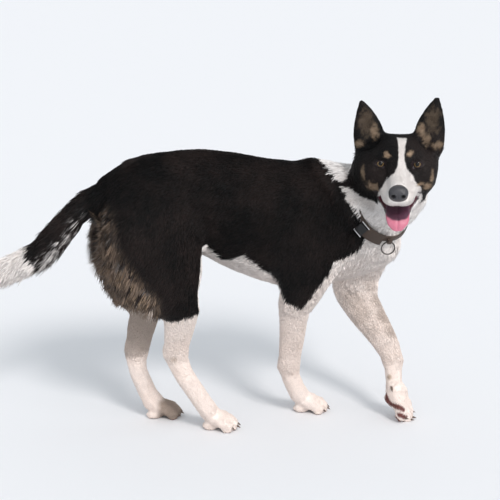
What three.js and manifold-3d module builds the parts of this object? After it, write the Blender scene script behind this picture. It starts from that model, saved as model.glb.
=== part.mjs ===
// A young black, white and tan herding dog, walking and looking back to its right. Life size, in millimetres.
// +X is the way the trunk heads, +Y is the dog's left and +Z is up. The floor is at z = 0.
//
// Flesh and coat are one field: the distance to limbs and muscles that blend into each other.
// Its zero surface is meshed, thinned to few triangles and parted into body parts with thin cuts.
import * as THREE from "three";
import { mergeVertices } from "three/addons/utils/BufferGeometryUtils.js";
import Module from "manifold-3d";

const wasm = await Module();
wasm.setup();

const v = (x, y, z) => new THREE.Vector3(x, y, z);

// ---------------------------------------------------------------- sizes

const GAP = 0.35; // clearance between neighbouring solids
const EDGE_COST = 1e-3; // favours short edges where the surface is flat
const SLIVER_ERROR = 3; // the squared distance times area that removing a sliver may cost
const ON_FLOOR = 1e-2; // a point this close to z = 0 is on the floor
const FLOOR_WEIGHT = 1e4; // keeps the points of the soles on the floor while edges collapse

// The head: the point between the eyes, the way the face points, and the eyes.
const FACE = v(234, -145, 521);
const FACE_YAW = -110; // degrees from +X, so to the dog's right
const FACE_PITCH = -2; // degrees, nose up
const EYE = { side: 33.5, back: 11, radius: 11 };

// Footprints: the middle of each sole, the way the toes point, and how far the foot tips forward.
const FEET = {
  hind_right: { at: v(-84, -46, 0), yaw: -17, pitch: 0 },
  hind_left: { at: v(-178, 44, 0), yaw: 0, pitch: 0 },
  fore_right: { at: v(112, 4, 0), yaw: -12, pitch: 0, dewclaw: { at: v(79, 13, 64), yaw: 30 } },
  fore_left: {
    at: v(264, -74, 18.5), yaw: -38, pitch: 42, clawRise: 4, clawTip: 0.7, dewclaw: { at: v(251, -87, 74), yaw: -80 },
  },
};

// The collar is a ring round an axis that points along `yaw` and `pitch`. It widens towards the chest by `flare`.
// Its strap is wide as far as the ring, at the angle `end`, and narrow beyond.
const COLLAR = { middle: v(235, -54, 412), yaw: -72, pitch: 35, radius: 57, flare: 0.32, thick: 3, end: -110 };
const STRAP = { wide: 25, narrow: 12, narrowAlong: 5 };
const BUCKLE = { angle: -155, along: -2, long: 18, thick: 5, wide: 20, barRadius: 1.5 };
const RING = { middle: v(237, -91, 351), facing: v(-0.1, -0.97, -0.2), radius: 12.8, wire: 1.3 };
const KEEPER = { angle: -99, along: 4, long: 8, thick: 7, wide: 8 };
const BUCKLE_ROOM = { out: 20, wide: 34, deep: 42, long: 26 }; // a notch in the neck, where the buckle shows

// How finely each solid is meshed, and the triangles it may keep.
const MESHES = {
  head: { cell: 3.4, triangles: 2060 },
  body: { cell: 7, triangles: 1750 },
  leg: { cell: 3.6, triangles: 470 },
  nose: { cell: 2, triangles: 220 },
  noseRoom: { cell: 2, triangles: 260 }, // the room that the head leaves for it
  tongue: { cell: 3, triangles: 220 },
  tongueRoom: { cell: 3, triangles: 260 },
};
const LEG_MARGIN = 75; // from the joints of a leg to the edge of the box that it is meshed in

const COLOURS = {
  black: 0x1b1918,
  white: 0xe9e2da,
  nose: 0x2b2a2c,
  tongue: 0xd97b93,
  claw: 0x5a4a42,
  eye: 0x7a5a34,
  strap: 0x3b332f,
  buckle: 0x151515,
  metal: 0x9a9894,
};

// ---------------------------------------------------------------- field

// Each shape of the field has distance(x, y, z), a sphere that holds it, and k, the width of its blend.

function ellipse(across, along, wide, deep) {
  const a = across / wide;
  const b = along / deep;
  const k0 = Math.sqrt(a * a + b * b);
  if (k0 < 1e-4) return -Math.min(wide, deep);
  return (k0 * (k0 - 1)) / Math.sqrt((a / wide) ** 2 + (b / deep) ** 2);
}

// A limb of oval section along a smooth curve. A station is [x, y, z, half width across, half depth].
function limb(stations, k = 18, across = v(0, 1, 0), steps = 4) {
  const curve = (pick) => new THREE.CatmullRomCurve3(stations.map(pick), false, "catmullrom", 0.5);
  const path = curve((s) => v(s[0], s[1], s[2]));
  const size = curve((s) => v(s[3], s[4], 0));
  const count = (stations.length - 1) * steps;
  const places = Array.from({ length: count + 1 }, (_, i) => path.getPoint(i / count));
  const sizes = Array.from({ length: count + 1 }, (_, i) => size.getPoint(i / count));
  const links = places.slice(1).map((b, i) => {
    const a = places[i];
    const along = b.clone().sub(a);
    const length2 = along.lengthSq();
    const side = across.clone().addScaledVector(along, -across.dot(along) / length2).normalize();
    return { a, along, length2, side, from: sizes[i], to: sizes[i + 1] };
  });
  const distance = (x, y, z) => {
    let least = Infinity;
    for (const { a, along, length2, side, from, to } of links) {
      const px = x - a.x;
      const py = y - a.y;
      const pz = z - a.z;
      const t = Math.min(1, Math.max(0, (px * along.x + py * along.y + pz * along.z) / length2));
      const qx = px - along.x * t;
      const qy = py - along.y * t;
      const qz = pz - along.z * t;
      const s = qx * side.x + qy * side.y + qz * side.z;
      const r = Math.sqrt(Math.max(0, qx * qx + qy * qy + qz * qz - s * s));
      const d = ellipse(s, r, from.x + (to.x - from.x) * t, from.y + (to.y - from.y) * t);
      if (d < least) least = d;
    }
    return least;
  };
  const sphere = new THREE.Box3().setFromPoints(places).getBoundingSphere(new THREE.Sphere());
  sphere.radius += Math.max(...sizes.map((s) => Math.max(s.x, s.y)));
  return { distance, sphere, k };
}

// An ellipsoid with its three half sizes along the axes of a frame.
function ball(centre, half, k = 14, frame = new THREE.Matrix4()) {
  const [a, b, c] = [0, 1, 2].map((column) => axisOf(frame, column).divideScalar(half[column]));
  const distance = (x, y, z) => {
    const [px, py, pz] = [x - centre.x, y - centre.y, z - centre.z];
    const qa = px * a.x + py * a.y + pz * a.z;
    const qb = px * b.x + py * b.y + pz * b.z;
    const qc = px * c.x + py * c.y + pz * c.z;
    const k0 = Math.sqrt(qa * qa + qb * qb + qc * qc);
    if (k0 < 1e-4) return -Math.min(...half);
    return (k0 * (k0 - 1)) / Math.sqrt((qa / half[0]) ** 2 + (qb / half[1]) ** 2 + (qc / half[2]) ** 2);
  };
  return { distance, sphere: new THREE.Sphere(centre.clone(), Math.max(...half)), k };
}

function softMinimum(a, b, k) {
  const h = Math.max(k - Math.abs(a - b), 0);
  return Math.min(a, b) - (h * h) / (4 * k);
}

// The shapes blended together, less the hollows. A shape too far off to matter isn't worked out.
function field(shapes, hollows = []) {
  const near = ({ sphere, k }, x, y, z, d) => {
    const reach = sphere.radius + k + Math.max(d, -k);
    const [px, py, pz] = [x - sphere.center.x, y - sphere.center.y, z - sphere.center.z];
    return px * px + py * py + pz * pz < reach * reach;
  };
  return (x, y, z) => {
    let d = 400;
    for (const s of shapes) {
      if (near(s, x, y, z, d)) d = softMinimum(d, s.distance(x, y, z), s.k);
    }
    for (const s of hollows) {
      if (near(s, x, y, z, -d)) d = -softMinimum(-d, s.distance(x, y, z), s.k);
    }
    return d;
  };
}

// ---------------------------------------------------------------- meshing

// Surface nets: one point in each cell that the surface crosses, then moved onto the surface.
function net(distance, box, cell) {
  const size = box.getSize(v(0, 0, 0)).divideScalar(cell).ceil().addScalar(3);
  const [nx, ny, nz] = [size.x, size.y, size.z];
  const low = box.min.clone().subScalar(cell);
  const values = new Float32Array(nx * ny * nz);
  const at = (i, j, k) => (k * ny + j) * nx + i;
  for (let k = 0; k < nz; k++) {
    for (let j = 0; j < ny; j++) {
      for (let i = 0; i < nx; i++) {
        const edge = i === 0 || j === 0 || k === 0 || i === nx - 1 || j === ny - 1 || k === nz - 1;
        values[at(i, j, k)] = edge ? 1 : distance(low.x + i * cell, low.y + j * cell, low.z + k * cell);
      }
    }
  }
  const corners = [0, 1, 2, 3, 4, 5, 6, 7].map((c) => [c & 1, (c >> 1) & 1, c >> 2]);
  const edges = [];
  for (const a of [0, 1, 2, 3, 4, 5, 6, 7]) {
    for (const bit of [1, 2, 4]) if (!(a & bit)) edges.push([a, a | bit]);
  }
  const points = [];
  const pointOf = new Int32Array(nx * ny * nz).fill(-1);
  for (let k = 0; k < nz - 1; k++) {
    for (let j = 0; j < ny - 1; j++) {
      for (let i = 0; i < nx - 1; i++) {
        const sum = v(0, 0, 0);
        let crossings = 0;
        for (const [a, b] of edges) {
          const [ca, cb] = [corners[a], corners[b]];
          const va = values[at(i + ca[0], j + ca[1], k + ca[2])];
          const vb = values[at(i + cb[0], j + cb[1], k + cb[2])];
          if (va < 0 === vb < 0) continue;
          const t = va / (va - vb);
          sum.x += ca[0] + (cb[0] - ca[0]) * t;
          sum.y += ca[1] + (cb[1] - ca[1]) * t;
          sum.z += ca[2] + (cb[2] - ca[2]) * t;
          crossings++;
        }
        if (!crossings) continue;
        pointOf[at(i, j, k)] = points.length;
        points.push(sum.divideScalar(crossings).add(v(i, j, k)).multiplyScalar(cell).add(low));
      }
    }
  }
  const triangles = [];
  const quad = (a, b, c, d, flip) => {
    if (flip) triangles.push([a, c, b], [a, d, c]);
    else triangles.push([a, b, c], [a, c, d]);
  };
  for (let k = 0; k < nz - 1; k++) {
    for (let j = 0; j < ny - 1; j++) {
      for (let i = 0; i < nx - 1; i++) {
        const here = values[at(i, j, k)] < 0;
        const cellPoint = (di, dj, dk) => pointOf[at(i - di, j - dj, k - dk)];
        if (j && k && here !== values[at(i + 1, j, k)] < 0) {
          quad(cellPoint(0, 1, 1), cellPoint(0, 0, 1), cellPoint(0, 0, 0), cellPoint(0, 1, 0), !here);
        }
        if (i && k && here !== values[at(i, j + 1, k)] < 0) {
          quad(cellPoint(1, 0, 1), cellPoint(1, 0, 0), cellPoint(0, 0, 0), cellPoint(0, 0, 1), !here);
        }
        if (i && j && here !== values[at(i, j, k + 1)] < 0) {
          quad(cellPoint(1, 1, 0), cellPoint(0, 1, 0), cellPoint(0, 0, 0), cellPoint(1, 0, 0), !here);
        }
      }
    }
  }
  points.forEach((p) => settle(distance, p, cell / 2));
  return { points, triangles };
}

// Moves a point onto the surface along the slope of the field, by at most `limit`.
function settle(distance, p, limit) {
  const start = p.clone();
  const e = 0.5;
  for (let turn = 0; turn < 3; turn++) {
    const slope = v(
      distance(p.x + e, p.y, p.z) - distance(p.x - e, p.y, p.z),
      distance(p.x, p.y + e, p.z) - distance(p.x, p.y - e, p.z),
      distance(p.x, p.y, p.z + e) - distance(p.x, p.y, p.z - e),
    ).divideScalar(2 * e);
    p.addScaledVector(slope, -distance(p.x, p.y, p.z) / Math.max(slope.lengthSq(), 0.2));
  }
  const move = p.clone().sub(start);
  if (move.length() > limit) p.copy(start).addScaledVector(move, limit / move.length());
}

// ---------------------------------------------------------------- thinning

// A quadric is the sum of squared distances to planes: the upper half of a symmetric 4 x 4 matrix, in rows.
function addPlane(q, n, d, weight) {
  const row = [n.x, n.y, n.z, d];
  let i = 0;
  for (let r = 0; r < 4; r++) {
    for (let c = r; c < 4; c++) q[i++] += weight * row[r] * row[c];
  }
}

function quadricError(q, p) {
  const squares = q[0] * p.x * p.x + q[4] * p.y * p.y + q[7] * p.z * p.z;
  const products = q[1] * p.x * p.y + q[2] * p.x * p.z + q[5] * p.y * p.z;
  return squares + 2 * (products + q[3] * p.x + q[6] * p.y + q[8] * p.z) + q[9];
}

// The cheapest place for the point that two joined points collapse to.
function cheapestPlace(q, a, b) {
  const middle = a.clone().add(b).divideScalar(2);
  const m = new THREE.Matrix3().set(q[0], q[1], q[2], q[1], q[4], q[5], q[2], q[5], q[7]);
  const scale = (q[0] + q[4] + q[7]) / 3;
  if (Math.abs(m.determinant()) > 1e-3 * scale ** 3) {
    const best = v(-q[3], -q[6], -q[8]).applyMatrix3(m.invert());
    if (best.distanceTo(middle) < a.distanceTo(b)) return best;
  }
  return [middle, a, b].reduce((x, y) => (quadricError(q, y) < quadricError(q, x) ? y : x)).clone();
}

// A heap of possible collapses, cheapest on top.
class Heap {
  items = [];

  push(item) {
    const h = this.items;
    let i = h.push(item) - 1;
    while (i && h[(i - 1) >> 1].cost > item.cost) {
      h[i] = h[(i - 1) >> 1];
      i = (i - 1) >> 1;
    }
    h[i] = item;
  }

  pop() {
    const h = this.items;
    const top = h[0];
    const last = h.pop();
    let i = 0;
    while (h.length) {
      let child = 2 * i + 1;
      if (child >= h.length) break;
      if (child + 1 < h.length && h[child + 1].cost < h[child].cost) child++;
      if (h[child].cost >= last.cost) break;
      h[i] = h[child];
      i = child;
    }
    if (h.length) h[i] = last;
    return top;
  }
}

// Collapses edges, cheapest first, until `budget` triangles are left or the next would cost more than `most`.
// The mesh stays closed and unfolded.
function thin({ points, triangles }, budget, most = Infinity) {
  const quadrics = points.map(() => new Float64Array(10));
  const around = points.map(() => new Set());
  const age = new Int32Array(points.length);
  const normalOf = (a, b, c) => b.clone().sub(a).cross(c.clone().sub(a));
  triangles.forEach((t, id) => {
    const n = normalOf(...t.map((i) => points[i]));
    const area = n.length();
    n.divideScalar(area || 1);
    for (const i of t) {
      addPlane(quadrics[i], n, -n.dot(points[t[0]]), area);
      around[i].add(id);
    }
  });
  points.forEach((p, i) => {
    if (Math.abs(p.z) < ON_FLOOR) addPlane(quadrics[i], v(0, 0, 1), 0, FLOOR_WEIGHT);
  });
  const neighbours = (i) => new Set([...around[i]].flatMap((id) => triangles[id]).filter((j) => j !== i));
  const heap = new Heap();
  const offer = (a, b) => {
    const q = quadrics[a].map((value, i) => value + quadrics[b][i]);
    const place = cheapestPlace(q, points[a], points[b]);
    const cost = Math.max(quadricError(q, place), 0) + EDGE_COST * points[a].distanceToSquared(points[b]);
    heap.push({ cost, a, b, q, place, ageA: age[a], ageB: age[b] });
  };
  const folds = (i, other, place) => [...around[i]].some((id) => {
    if (triangles[id].includes(other)) return false;
    const old = triangles[id].map((j) => points[j]);
    const now = triangles[id].map((j) => (j === i ? place : points[j]));
    const [n0, n1] = [normalOf(...old), normalOf(...now)];
    return n0.dot(n1) < 0.35 * n0.length() * n1.length();
  });
  points.forEach((_, a) => neighbours(a).forEach((b) => a < b && offer(a, b)));
  let left = triangles.length;
  while (left > budget && heap.items.length) {
    const { cost, a, b, q, place, ageA, ageB } = heap.pop();
    if (cost > most) break;
    if (age[a] !== ageA || age[b] !== ageB) continue;
    const near = neighbours(b);
    if ([...neighbours(a)].filter((i) => near.has(i)).length !== 2) continue;
    if (folds(a, b, place) || folds(b, a, place)) continue;
    for (const id of around[b]) {
      const t = triangles[id];
      if (t.includes(a)) {
        t.forEach((i) => i !== b && around[i].delete(id));
        triangles[id] = null;
        left--;
      } else {
        t[t.indexOf(b)] = a;
        around[a].add(id);
      }
    }
    around[b].clear();
    points[a].copy(place);
    quadrics[a] = q;
    age[a]++;
    age[b] = -1;
    neighbours(a).forEach((i) => offer(a, i));
  }
  return { points, triangles: triangles.filter((t) => t) };
}

// ---------------------------------------------------------------- solids

function toManifold(vertProperties, triVerts) {
  return new wasm.Manifold(new wasm.Mesh({ numProp: 3, vertProperties, triVerts }));
}

// A solid from a three.js geometry.
function solidOf(geometry) {
  const bare = geometry.clone();
  bare.deleteAttribute("normal");
  bare.deleteAttribute("uv");
  const merged = mergeVertices(bare, 1e-3);
  return toManifold(merged.attributes.position.array, Uint32Array.from(merged.index.array));
}

function manifoldOf({ points, triangles }) {
  const order = new Map();
  const flat = [];
  const corner = (i) => {
    if (!order.has(i)) {
      order.set(i, order.size);
      flat.push(points[i].x, points[i].y, points[i].z);
    }
    return order.get(i);
  };
  const corners = triangles.flat().map(corner);
  return toManifold(Float32Array.from(flat), Uint32Array.from(corners));
}

// A solid from a field, meshed inside a box.
const solidOfField = (distance, box, { cell, triangles }) => manifoldOf(thin(net(distance, box, cell), triangles));

// Cutting shapes. Each is a function of `grow`, how far its faces move out, so that a cut leaves a thin gap.

// A block ahead of a plane: `deep` along its direction, `wide` along `side` and `high` across both.
function block(point, direction, deep, wide = 400, high = wide, side = v(0, 1, 0)) {
  const z = direction.clone().normalize();
  const x = side.clone().addScaledVector(z, -side.dot(z)).normalize();
  const turn = new THREE.Matrix4().makeBasis(x, z.clone().cross(x), z).setPosition(point);
  return (grow) => solidOf(
    new THREE.BoxGeometry(wide + 2 * grow, high + 2 * grow, deep + 2 * grow)
      .translate(0, 0, deep / 2)
      .applyMatrix4(turn),
  );
}

function egg(centre, half) {
  return (grow) => solidOf(
    new THREE.SphereGeometry(1, 16, 10)
      .scale(half.x + grow, half.y + grow, half.z + grow)
      .translate(...centre.toArray()),
  );
}

const joined = (a, b) => (grow) => a(grow).add(b(grow));
const overlap = (a, b) => (grow) => a(grow).intersect(b(grow));

// Parts a solid by a cutting shape: what is inside it, and the rest.
function part(whole, shape) {
  return [whole.intersect(shape(-GAP / 2)), whole.subtract(shape(GAP / 2))];
}

const group = new THREE.Group();

function addMesh(name, geometry, colour, roughness = 0.9, metalness = 0) {
  const mesh = new THREE.Mesh(geometry, new THREE.MeshStandardMaterial({ color: colour, roughness, metalness }));
  mesh.name = name;
  group.add(mesh);
}

// Where two points share a place the surface is pinched, so one of them is drawn towards the points round it.
function unpinch(points, triangles) {
  const key = (p) => p.toArray().join();
  const lastAt = new Map(points.map((p, i) => [key(p), i]));
  points.forEach((p, i) => {
    if (lastAt.get(key(p)) === i) return;
    const around = triangles.filter((t) => t.includes(i)).flat().map((j) => points[j]);
    const mean = around.reduce((sum, q) => sum.add(q), v(0, 0, 0)).divideScalar(around.length);
    p.lerp(mean, 0.1);
  });
}

// Cuts leave slivers, so the edges that can go without moving the surface are collapsed again.
function withoutSlivers(solid) {
  const { vertProperties, triVerts } = solid.getMesh();
  const points = [];
  for (let i = 0; i < vertProperties.length; i += 3) points.push(v(...vertProperties.subarray(i, i + 3)));
  const triangles = [];
  for (let i = 0; i < triVerts.length; i += 3) triangles.push([...triVerts.subarray(i, i + 3)]);
  unpinch(points, triangles);
  const clean = thin({ points, triangles }, 0, SLIVER_ERROR);
  for (const p of points) if (Math.abs(p.z) < ON_FLOOR) p.z = 0;
  return manifoldOf(clean);
}

function addSolid(name, solid, ...finish) {
  const { vertProperties, triVerts } = solid.getMesh();
  const geometry = new THREE.BufferGeometry();
  geometry.setAttribute("position", new THREE.BufferAttribute(vertProperties, 3));
  geometry.setIndex(new THREE.BufferAttribute(triVerts, 1));
  geometry.computeVertexNormals();
  addMesh(name, geometry, ...finish);
}

// ---------------------------------------------------------------- frames

// A frame whose x axis points along `yaw`, tipped down by `pitch`, with z up.
function frameAt(at, yaw, pitch) {
  const turn = new THREE.Euler(0, THREE.MathUtils.degToRad(pitch), THREE.MathUtils.degToRad(yaw), "ZYX");
  return new THREE.Matrix4().makeRotationFromEuler(turn).setPosition(at);
}

const axisOf = (frame, column) => v(0, 0, 0).setFromMatrixColumn(frame, column);
const within = (frame, x, y, z) => v(x, y, z).applyMatrix4(frame);
const stationsIn = (frame, stations) => stations.map(
  ([x, y, z, wide, deep]) => [...within(frame, x, y, z).toArray(), wide, deep],
);
const boxOf = (x0, x1, y0, y1, z0, z1) => new THREE.Box3(v(x0, y0, z0), v(x1, y1, z1));

// ---------------------------------------------------------------- trunk, neck and tail

const trunk = [
  limb([
    [-262, 0, 444, 52, 52],
    [-205, 0, 456, 72, 76],
    [-125, 0, 447, 75, 95],
    [-60, 0, 431, 77, 104],
    [0, 0, 408, 86, 114],
    [70, 0, 389, 91, 122],
    [130, 0, 386, 84, 120],
    [185, 0, 376, 72, 102],
    [228, -4, 352, 54, 66],
  ], 20),
];

const neck = [
  limb([
    [135, 0, 420, 62, 86],
    [190, -14, 424, 60, 76],
    [232, -42, 430, 60, 66],
    [256, -72, 452, 60, 60],
    [262, -84, 480, 54, 54],
  ], 26, v(0.35, 0.94, 0)),
  ball(v(232, -58, 403), [44, 42, 44], 20), // throat, under the collar
];

const tail = [
  limb([
    [-250, 0, 486, 24, 24],
    [-296, -3, 468, 23, 25],
    [-336, -8, 436, 24, 28],
    [-368, -10, 404, 26, 30],
    [-402, -10, 366, 26, 31],
    [-440, -10, 346, 24, 30],
    [-484, -8, 328, 21, 27],
    [-530, -4, 318, 15, 20],
    [-562, 0, 318, 6, 8],
  ], 16),
];

// ---------------------------------------------------------------- head

const head = frameAt(FACE, FACE_YAW, -FACE_PITCH);
const headSide = axisOf(head, 1);
const inHead = (stations) => stationsIn(head, stations);

const skull = [
  ball(within(head, -48, 0, 4), [56, 53, 43], 14, head),
  limb(inHead([
    [-22, 0, 2, 27, 22],
    [8, 0, -12, 21, 18],
    [40, 0, -24, 18, 16],
    [72, 0, -31, 16, 14],
  ]), 16, headSide), // bridge of the muzzle
  ball(within(head, -62, -60, -26), [36, 32, 44], 20, head), // ruff, pushed up where the neck bends
];
const ears = [];
const jaw = [
  limb(inHead([
    [-52, 0, -62, 42, 22],
    [-18, 0, -74, 33, 17],
    [14, 0, -86, 24, 12],
    [38, 0, -96, 19, 9],
    [48, 0, -99, 15, 7],
  ]), 14, headSide),
];
const mouth = limb(inHead([
  [-6, 0, -55, 27, 3],
  [16, 0, -63, 30, 9],
  [48, 0, -77, 34, 17],
  [100, 0, -96, 50, 30],
]), 5, headSide);

for (const side of [1, -1]) {
  skull.push(
    ball(within(head, -19, side * 24, 12), [20, 17, 13], 12, head), // brow
    ball(within(head, -38, side * 45, -24), [42, 27, 37], 18, head), // cheek
    ball(within(head, -54, side * 51, -2), [32, 25, 30], 16, head), // temple
    ball(within(head, -54, side * 22, 20), [30, 22, 24], 14, head), // crown
    ball(within(head, -17, side * 32, -20), [20, 16, 15], 12, head), // under the eye
    limb(inHead([
      [-6, side * 30, -37, 12, 14],
      [28, side * 21, -42, 13, 14],
      [58, side * 15, -47, 14, 14],
      [70, side * 10, -48, 12, 12],
    ]), 12, headSide), // upper lip
  );
}

// Each ear leans out to `tip` and stands `high`. Its cup opens forward.
const EARS = { left: { side: 1, tip: 67, high: 116 }, right: { side: -1, tip: 71, high: 108 } };
const earHollows = [];
for (const { side, tip, high } of Object.values(EARS)) {
  const out = (share) => side * (49 + (tip - 49) * share);
  ears.push(limb(inHead([
    [-62, out(0), 12, 31, 20],
    [-60, out(0.25), high * 0.3, 30, 16],
    [-57, out(0.48), high * 0.55, 26, 11],
    [-54, out(0.76), high * 0.8, 16, 7],
    [-52, out(1), high * 0.97, 5.5, 4.5],
  ]), 8, headSide));
  earHollows.push(limb(inHead([
    [-38, out(0.2), high * 0.26, 18, 9],
    [-41, out(0.45), high * 0.54, 18, 10],
    [-43, out(0.76), high * 0.78, 9, 6],
  ]), 6, headSide));
}

const eyePlace = (side, forward = -EYE.back) => within(head, forward, side * EYE.side, 0);
const sockets = [1, -1].map((side) => ball(eyePlace(side, 3), [12, 12, 8], 6, head));

// The tongue lies in the jaw and hangs over its tip.
const tongue = [
  limb(inHead([
    [-2, 0, -66, 20, 5],
    [22, 0, -77, 22, 5.5],
    [44, 0, -87, 22, 6],
    [55, 0, -97, 19, 5.5],
    [57, 0, -107, 11, 4],
  ]), 5, headSide),
];
const noseLeather = [ball(within(head, 82, 0, -34), [11, 17.5, 13.5], 8, head)];
const nostrils = [1, -1].map((side) => ball(within(head, 93, side * 9, -37), [6, 4, 4.5], 3, head));

// ---------------------------------------------------------------- legs

// A foot: instep, four toes with their pads, and the large pad behind them.
function foot({ at, yaw, pitch, clawRise = 0, clawTip = -0.6, dewclaw }) {
  const frame = frameAt(at, yaw, pitch);
  const side = axisOf(frame, 1);
  const shapes = [
    limb(stationsIn(frame, [[-18, 0, 34, 17, 17], [-6, 0, 24, 21, 17], [6, 0, 19, 22, 14]]), 10, side),
    ball(within(frame, -16, 0, 7), [16, 15, 8.5], 8, frame),
  ];
  const claws = [];
  for (const place of [-1.5, -0.5, 0.5, 1.5]) {
    const tip = Math.abs(place) < 1 ? 29 : 20;
    const out = place * 13;
    shapes.push(
      limb(stationsIn(frame, [
        [-4, place * 9, 22, 9, 10],
        [tip - 12, out, 19, 9, 11],
        [tip, out * 1.06, 11, 8, 9.5],
      ]), 5, side),
      ball(within(frame, tip - 3, out, 4), [9, 6.5, 5.5], 4, frame),
    );
    claws.push([within(frame, tip + 7, out * 1.06, 10 + clawRise), within(frame, 0.8, 0, clawTip).sub(at).normalize()]);
  }
  if (dewclaw) {
    const down = frameAt(dewclaw.at, dewclaw.yaw, 65);
    shapes.push(ball(dewclaw.at, [6, 6, 9], 8, frame));
    claws.push([within(down, 6, 0, 2), axisOf(down, 0)]);
  }
  return { frame, shapes, claws };
}

const feet = Object.fromEntries(Object.entries(FEET).map(([name, place]) => [name, foot(place)]));

const legs = {
  hind_right: [
    limb([
      [-205, -38, 440, 44, 84],
      [-210, -54, 394, 46, 94],
      [-202, -62, 340, 44, 86],
      [-182, -68, 296, 38, 58],
      [-164, -71, 262, 28, 40],
      [-161, -70, 234, 23, 32],
      [-165, -66, 202, 19, 27],
      [-169, -61, 168, 16, 23],
    ], 22),
    limb([[-171, -60, 170, 15, 22], [-157, -58, 128, 15, 19], [-130, -54, 82, 16, 18], [-108, -51, 46, 17, 18]], 8),
  ],
  hind_left: [
    limb([
      [-205, 38, 440, 44, 84],
      [-214, 54, 392, 46, 92],
      [-220, 62, 340, 44, 82],
      [-220, 66, 292, 36, 62],
      [-212, 62, 254, 28, 46],
      [-206, 57, 222, 23, 32],
      [-217, 49, 181, 19, 27],
      [-226, 44, 144, 16, 23],
    ], 22),
    limb([[-228, 44, 146, 15, 22], [-225, 43, 104, 15, 18], [-211, 42, 64, 16, 18], [-199, 43, 38, 17, 18]], 8),
  ],
  fore_right: [
    limb([
      [96, -44, 410, 34, 62],
      [100, -58, 352, 36, 60],
      [86, -64, 305, 32, 52],
      [74, -62, 268, 27, 42],
      [66, -52, 236, 23, 32],
      [65, -42, 196, 20, 27],
      [65, -30, 152, 18, 24],
      [63, -20, 108, 18, 21],
    ], 22),
    limb([[63, -20, 110, 18, 21], [72, -12, 76, 17, 18], [88, -2, 44, 18, 18]], 8),
  ],
  fore_left: [
    limb([
      [130, 40, 420, 34, 62],
      [196, 48, 364, 36, 62],
      [232, 50, 308, 34, 54],
      [220, 49, 262, 30, 52],
      [222, 34, 220, 25, 40],
      [240, 4, 182, 22, 32],
      [258, -36, 144, 19, 25],
      [266, -56, 114, 17, 19],
    ], 22),
    limb([[266, -55, 116, 17, 19], [264, -68, 84, 16, 16], [262, -76, 56, 17, 16]], 8),
  ],
};

// ---------------------------------------------------------------- the whole dog

const legShapes = (name) => [...legs[name], ...feet[name].shapes];
const limbs = Object.keys(FEET).flatMap(legShapes);
const hollows = [mouth, ...earHollows, ...sockets];
const flesh = field([...trunk, ...neck, ...tail, ...skull, ...jaw, ...ears, ...limbs], hollows);
const bareBody = field([...trunk, ...neck, ...tail, ...skull, ...limbs]);

// Where the parts are parted.
const inHeadDirection = (x, y, z) => within(head, x, y, z).sub(FACE);
const HEAD_CUT = block(within(head, -72, 0, -45), inHeadDirection(0.75, 0, 0.66), 300, 196, 260, headSide);
const NECK_CUT = block(v(190, -12, 430), v(0.75, -0.25, 0.61), 200, 260);
const TAIL_CUT = joined(
  block(v(-284, -2, 474), v(-0.86, 0, -0.5), 150, 84),
  block(v(-322, 0, 400), v(-1, 0, 0), 300, 200, 260),
);
const MOUTH_CORNER = within(head, -8, 0, -56);
const JAW_CUT = overlap(
  block(MOUTH_CORNER, inHeadDirection(-0.38, 0, -0.93), 150, 84, 300, headSide),
  block(MOUTH_CORNER, inHeadDirection(0.8, 0, -0.6), 150, 84, 300, headSide),
);
const earCut = (side) => block(within(head, -58, side * 52, 31), inHeadDirection(0, side * 0.55, 0.83), 130, 96);

const LEG_CUTS = {
  hind_right: {
    names: ["thigh_right", "shank_right", "hind_foot_right"],
    knee: [v(-164, -71, 258), v(0.02, 0, -1)],
    ankle: [v(-168, -60, 160), v(0.35, 0.05, -1)],
    root: { middle: v(-196, -95, 345), half: v(112, 66, 118), low: v(-300, -150, 200), high: v(-100, -10, 320) },
  },
  hind_left: {
    names: ["thigh_left", "shank_left", "hind_foot_left"],
    knee: [v(-210, 62, 252), v(-0.02, 0, -1)],
    ankle: [v(-227, 44, 136), v(0.2, 0, -1)],
    root: { middle: v(-204, 95, 345), half: v(112, 66, 118), low: v(-310, 10, 200), high: v(-70, 150, 318) },
  },
  fore_right: {
    names: ["shoulder_right", "forearm_right", "fore_foot_right"],
    knee: [v(66, -52, 238), v(0, 0.2, -1)],
    ankle: [v(63, -20, 100), v(0.2, 0.15, -1)],
    root: { middle: v(90, -92, 330), half: v(70, 56, 102), low: v(10, -130, 200), high: v(140, -22, 262) },
  },
  fore_left: {
    names: ["shoulder_left", "forearm_left", "fore_foot_left"],
    knee: [v(221, 40, 232), v(0.25, -0.5, -1)],
    ankle: [v(266, -57, 108), v(0, -0.35, -1)],
    root: { middle: v(204, 88, 330), half: v(88, 60, 98), low: v(150, -8, 190), high: v(310, 130, 284) },
  },
};

// ---------------------------------------------------------------- claws, eyes, nose and collar

const CLAW = { radius: 2.6, length: 13, root: 4 };

// A claw as a cutting shape, so that the toe can leave room for it.
function claw(place, direction) {
  const turn = new THREE.Quaternion().setFromUnitVectors(v(0, 1, 0), direction);
  const start = place.clone().addScaledVector(direction, -CLAW.root);
  return (grow) => {
    const [r, l] = [CLAW.radius + grow, CLAW.length + grow];
    const profile = [[0, -grow], [r, -grow], [r * 0.8, l * 0.55], [0, l]];
    return solidOf(
      new THREE.LatheGeometry(profile.map((p) => new THREE.Vector2(...p)), 6)
        .applyQuaternion(turn)
        .translate(...start.toArray()),
    );
  };
}

const eyeball = (side) => (grow) => solidOf(
  new THREE.SphereGeometry(EYE.radius + grow, 12, 8).translate(...eyePlace(side).toArray()),
);

const collar = frameAt(COLLAR.middle, COLLAR.yaw, -COLLAR.pitch);

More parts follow.
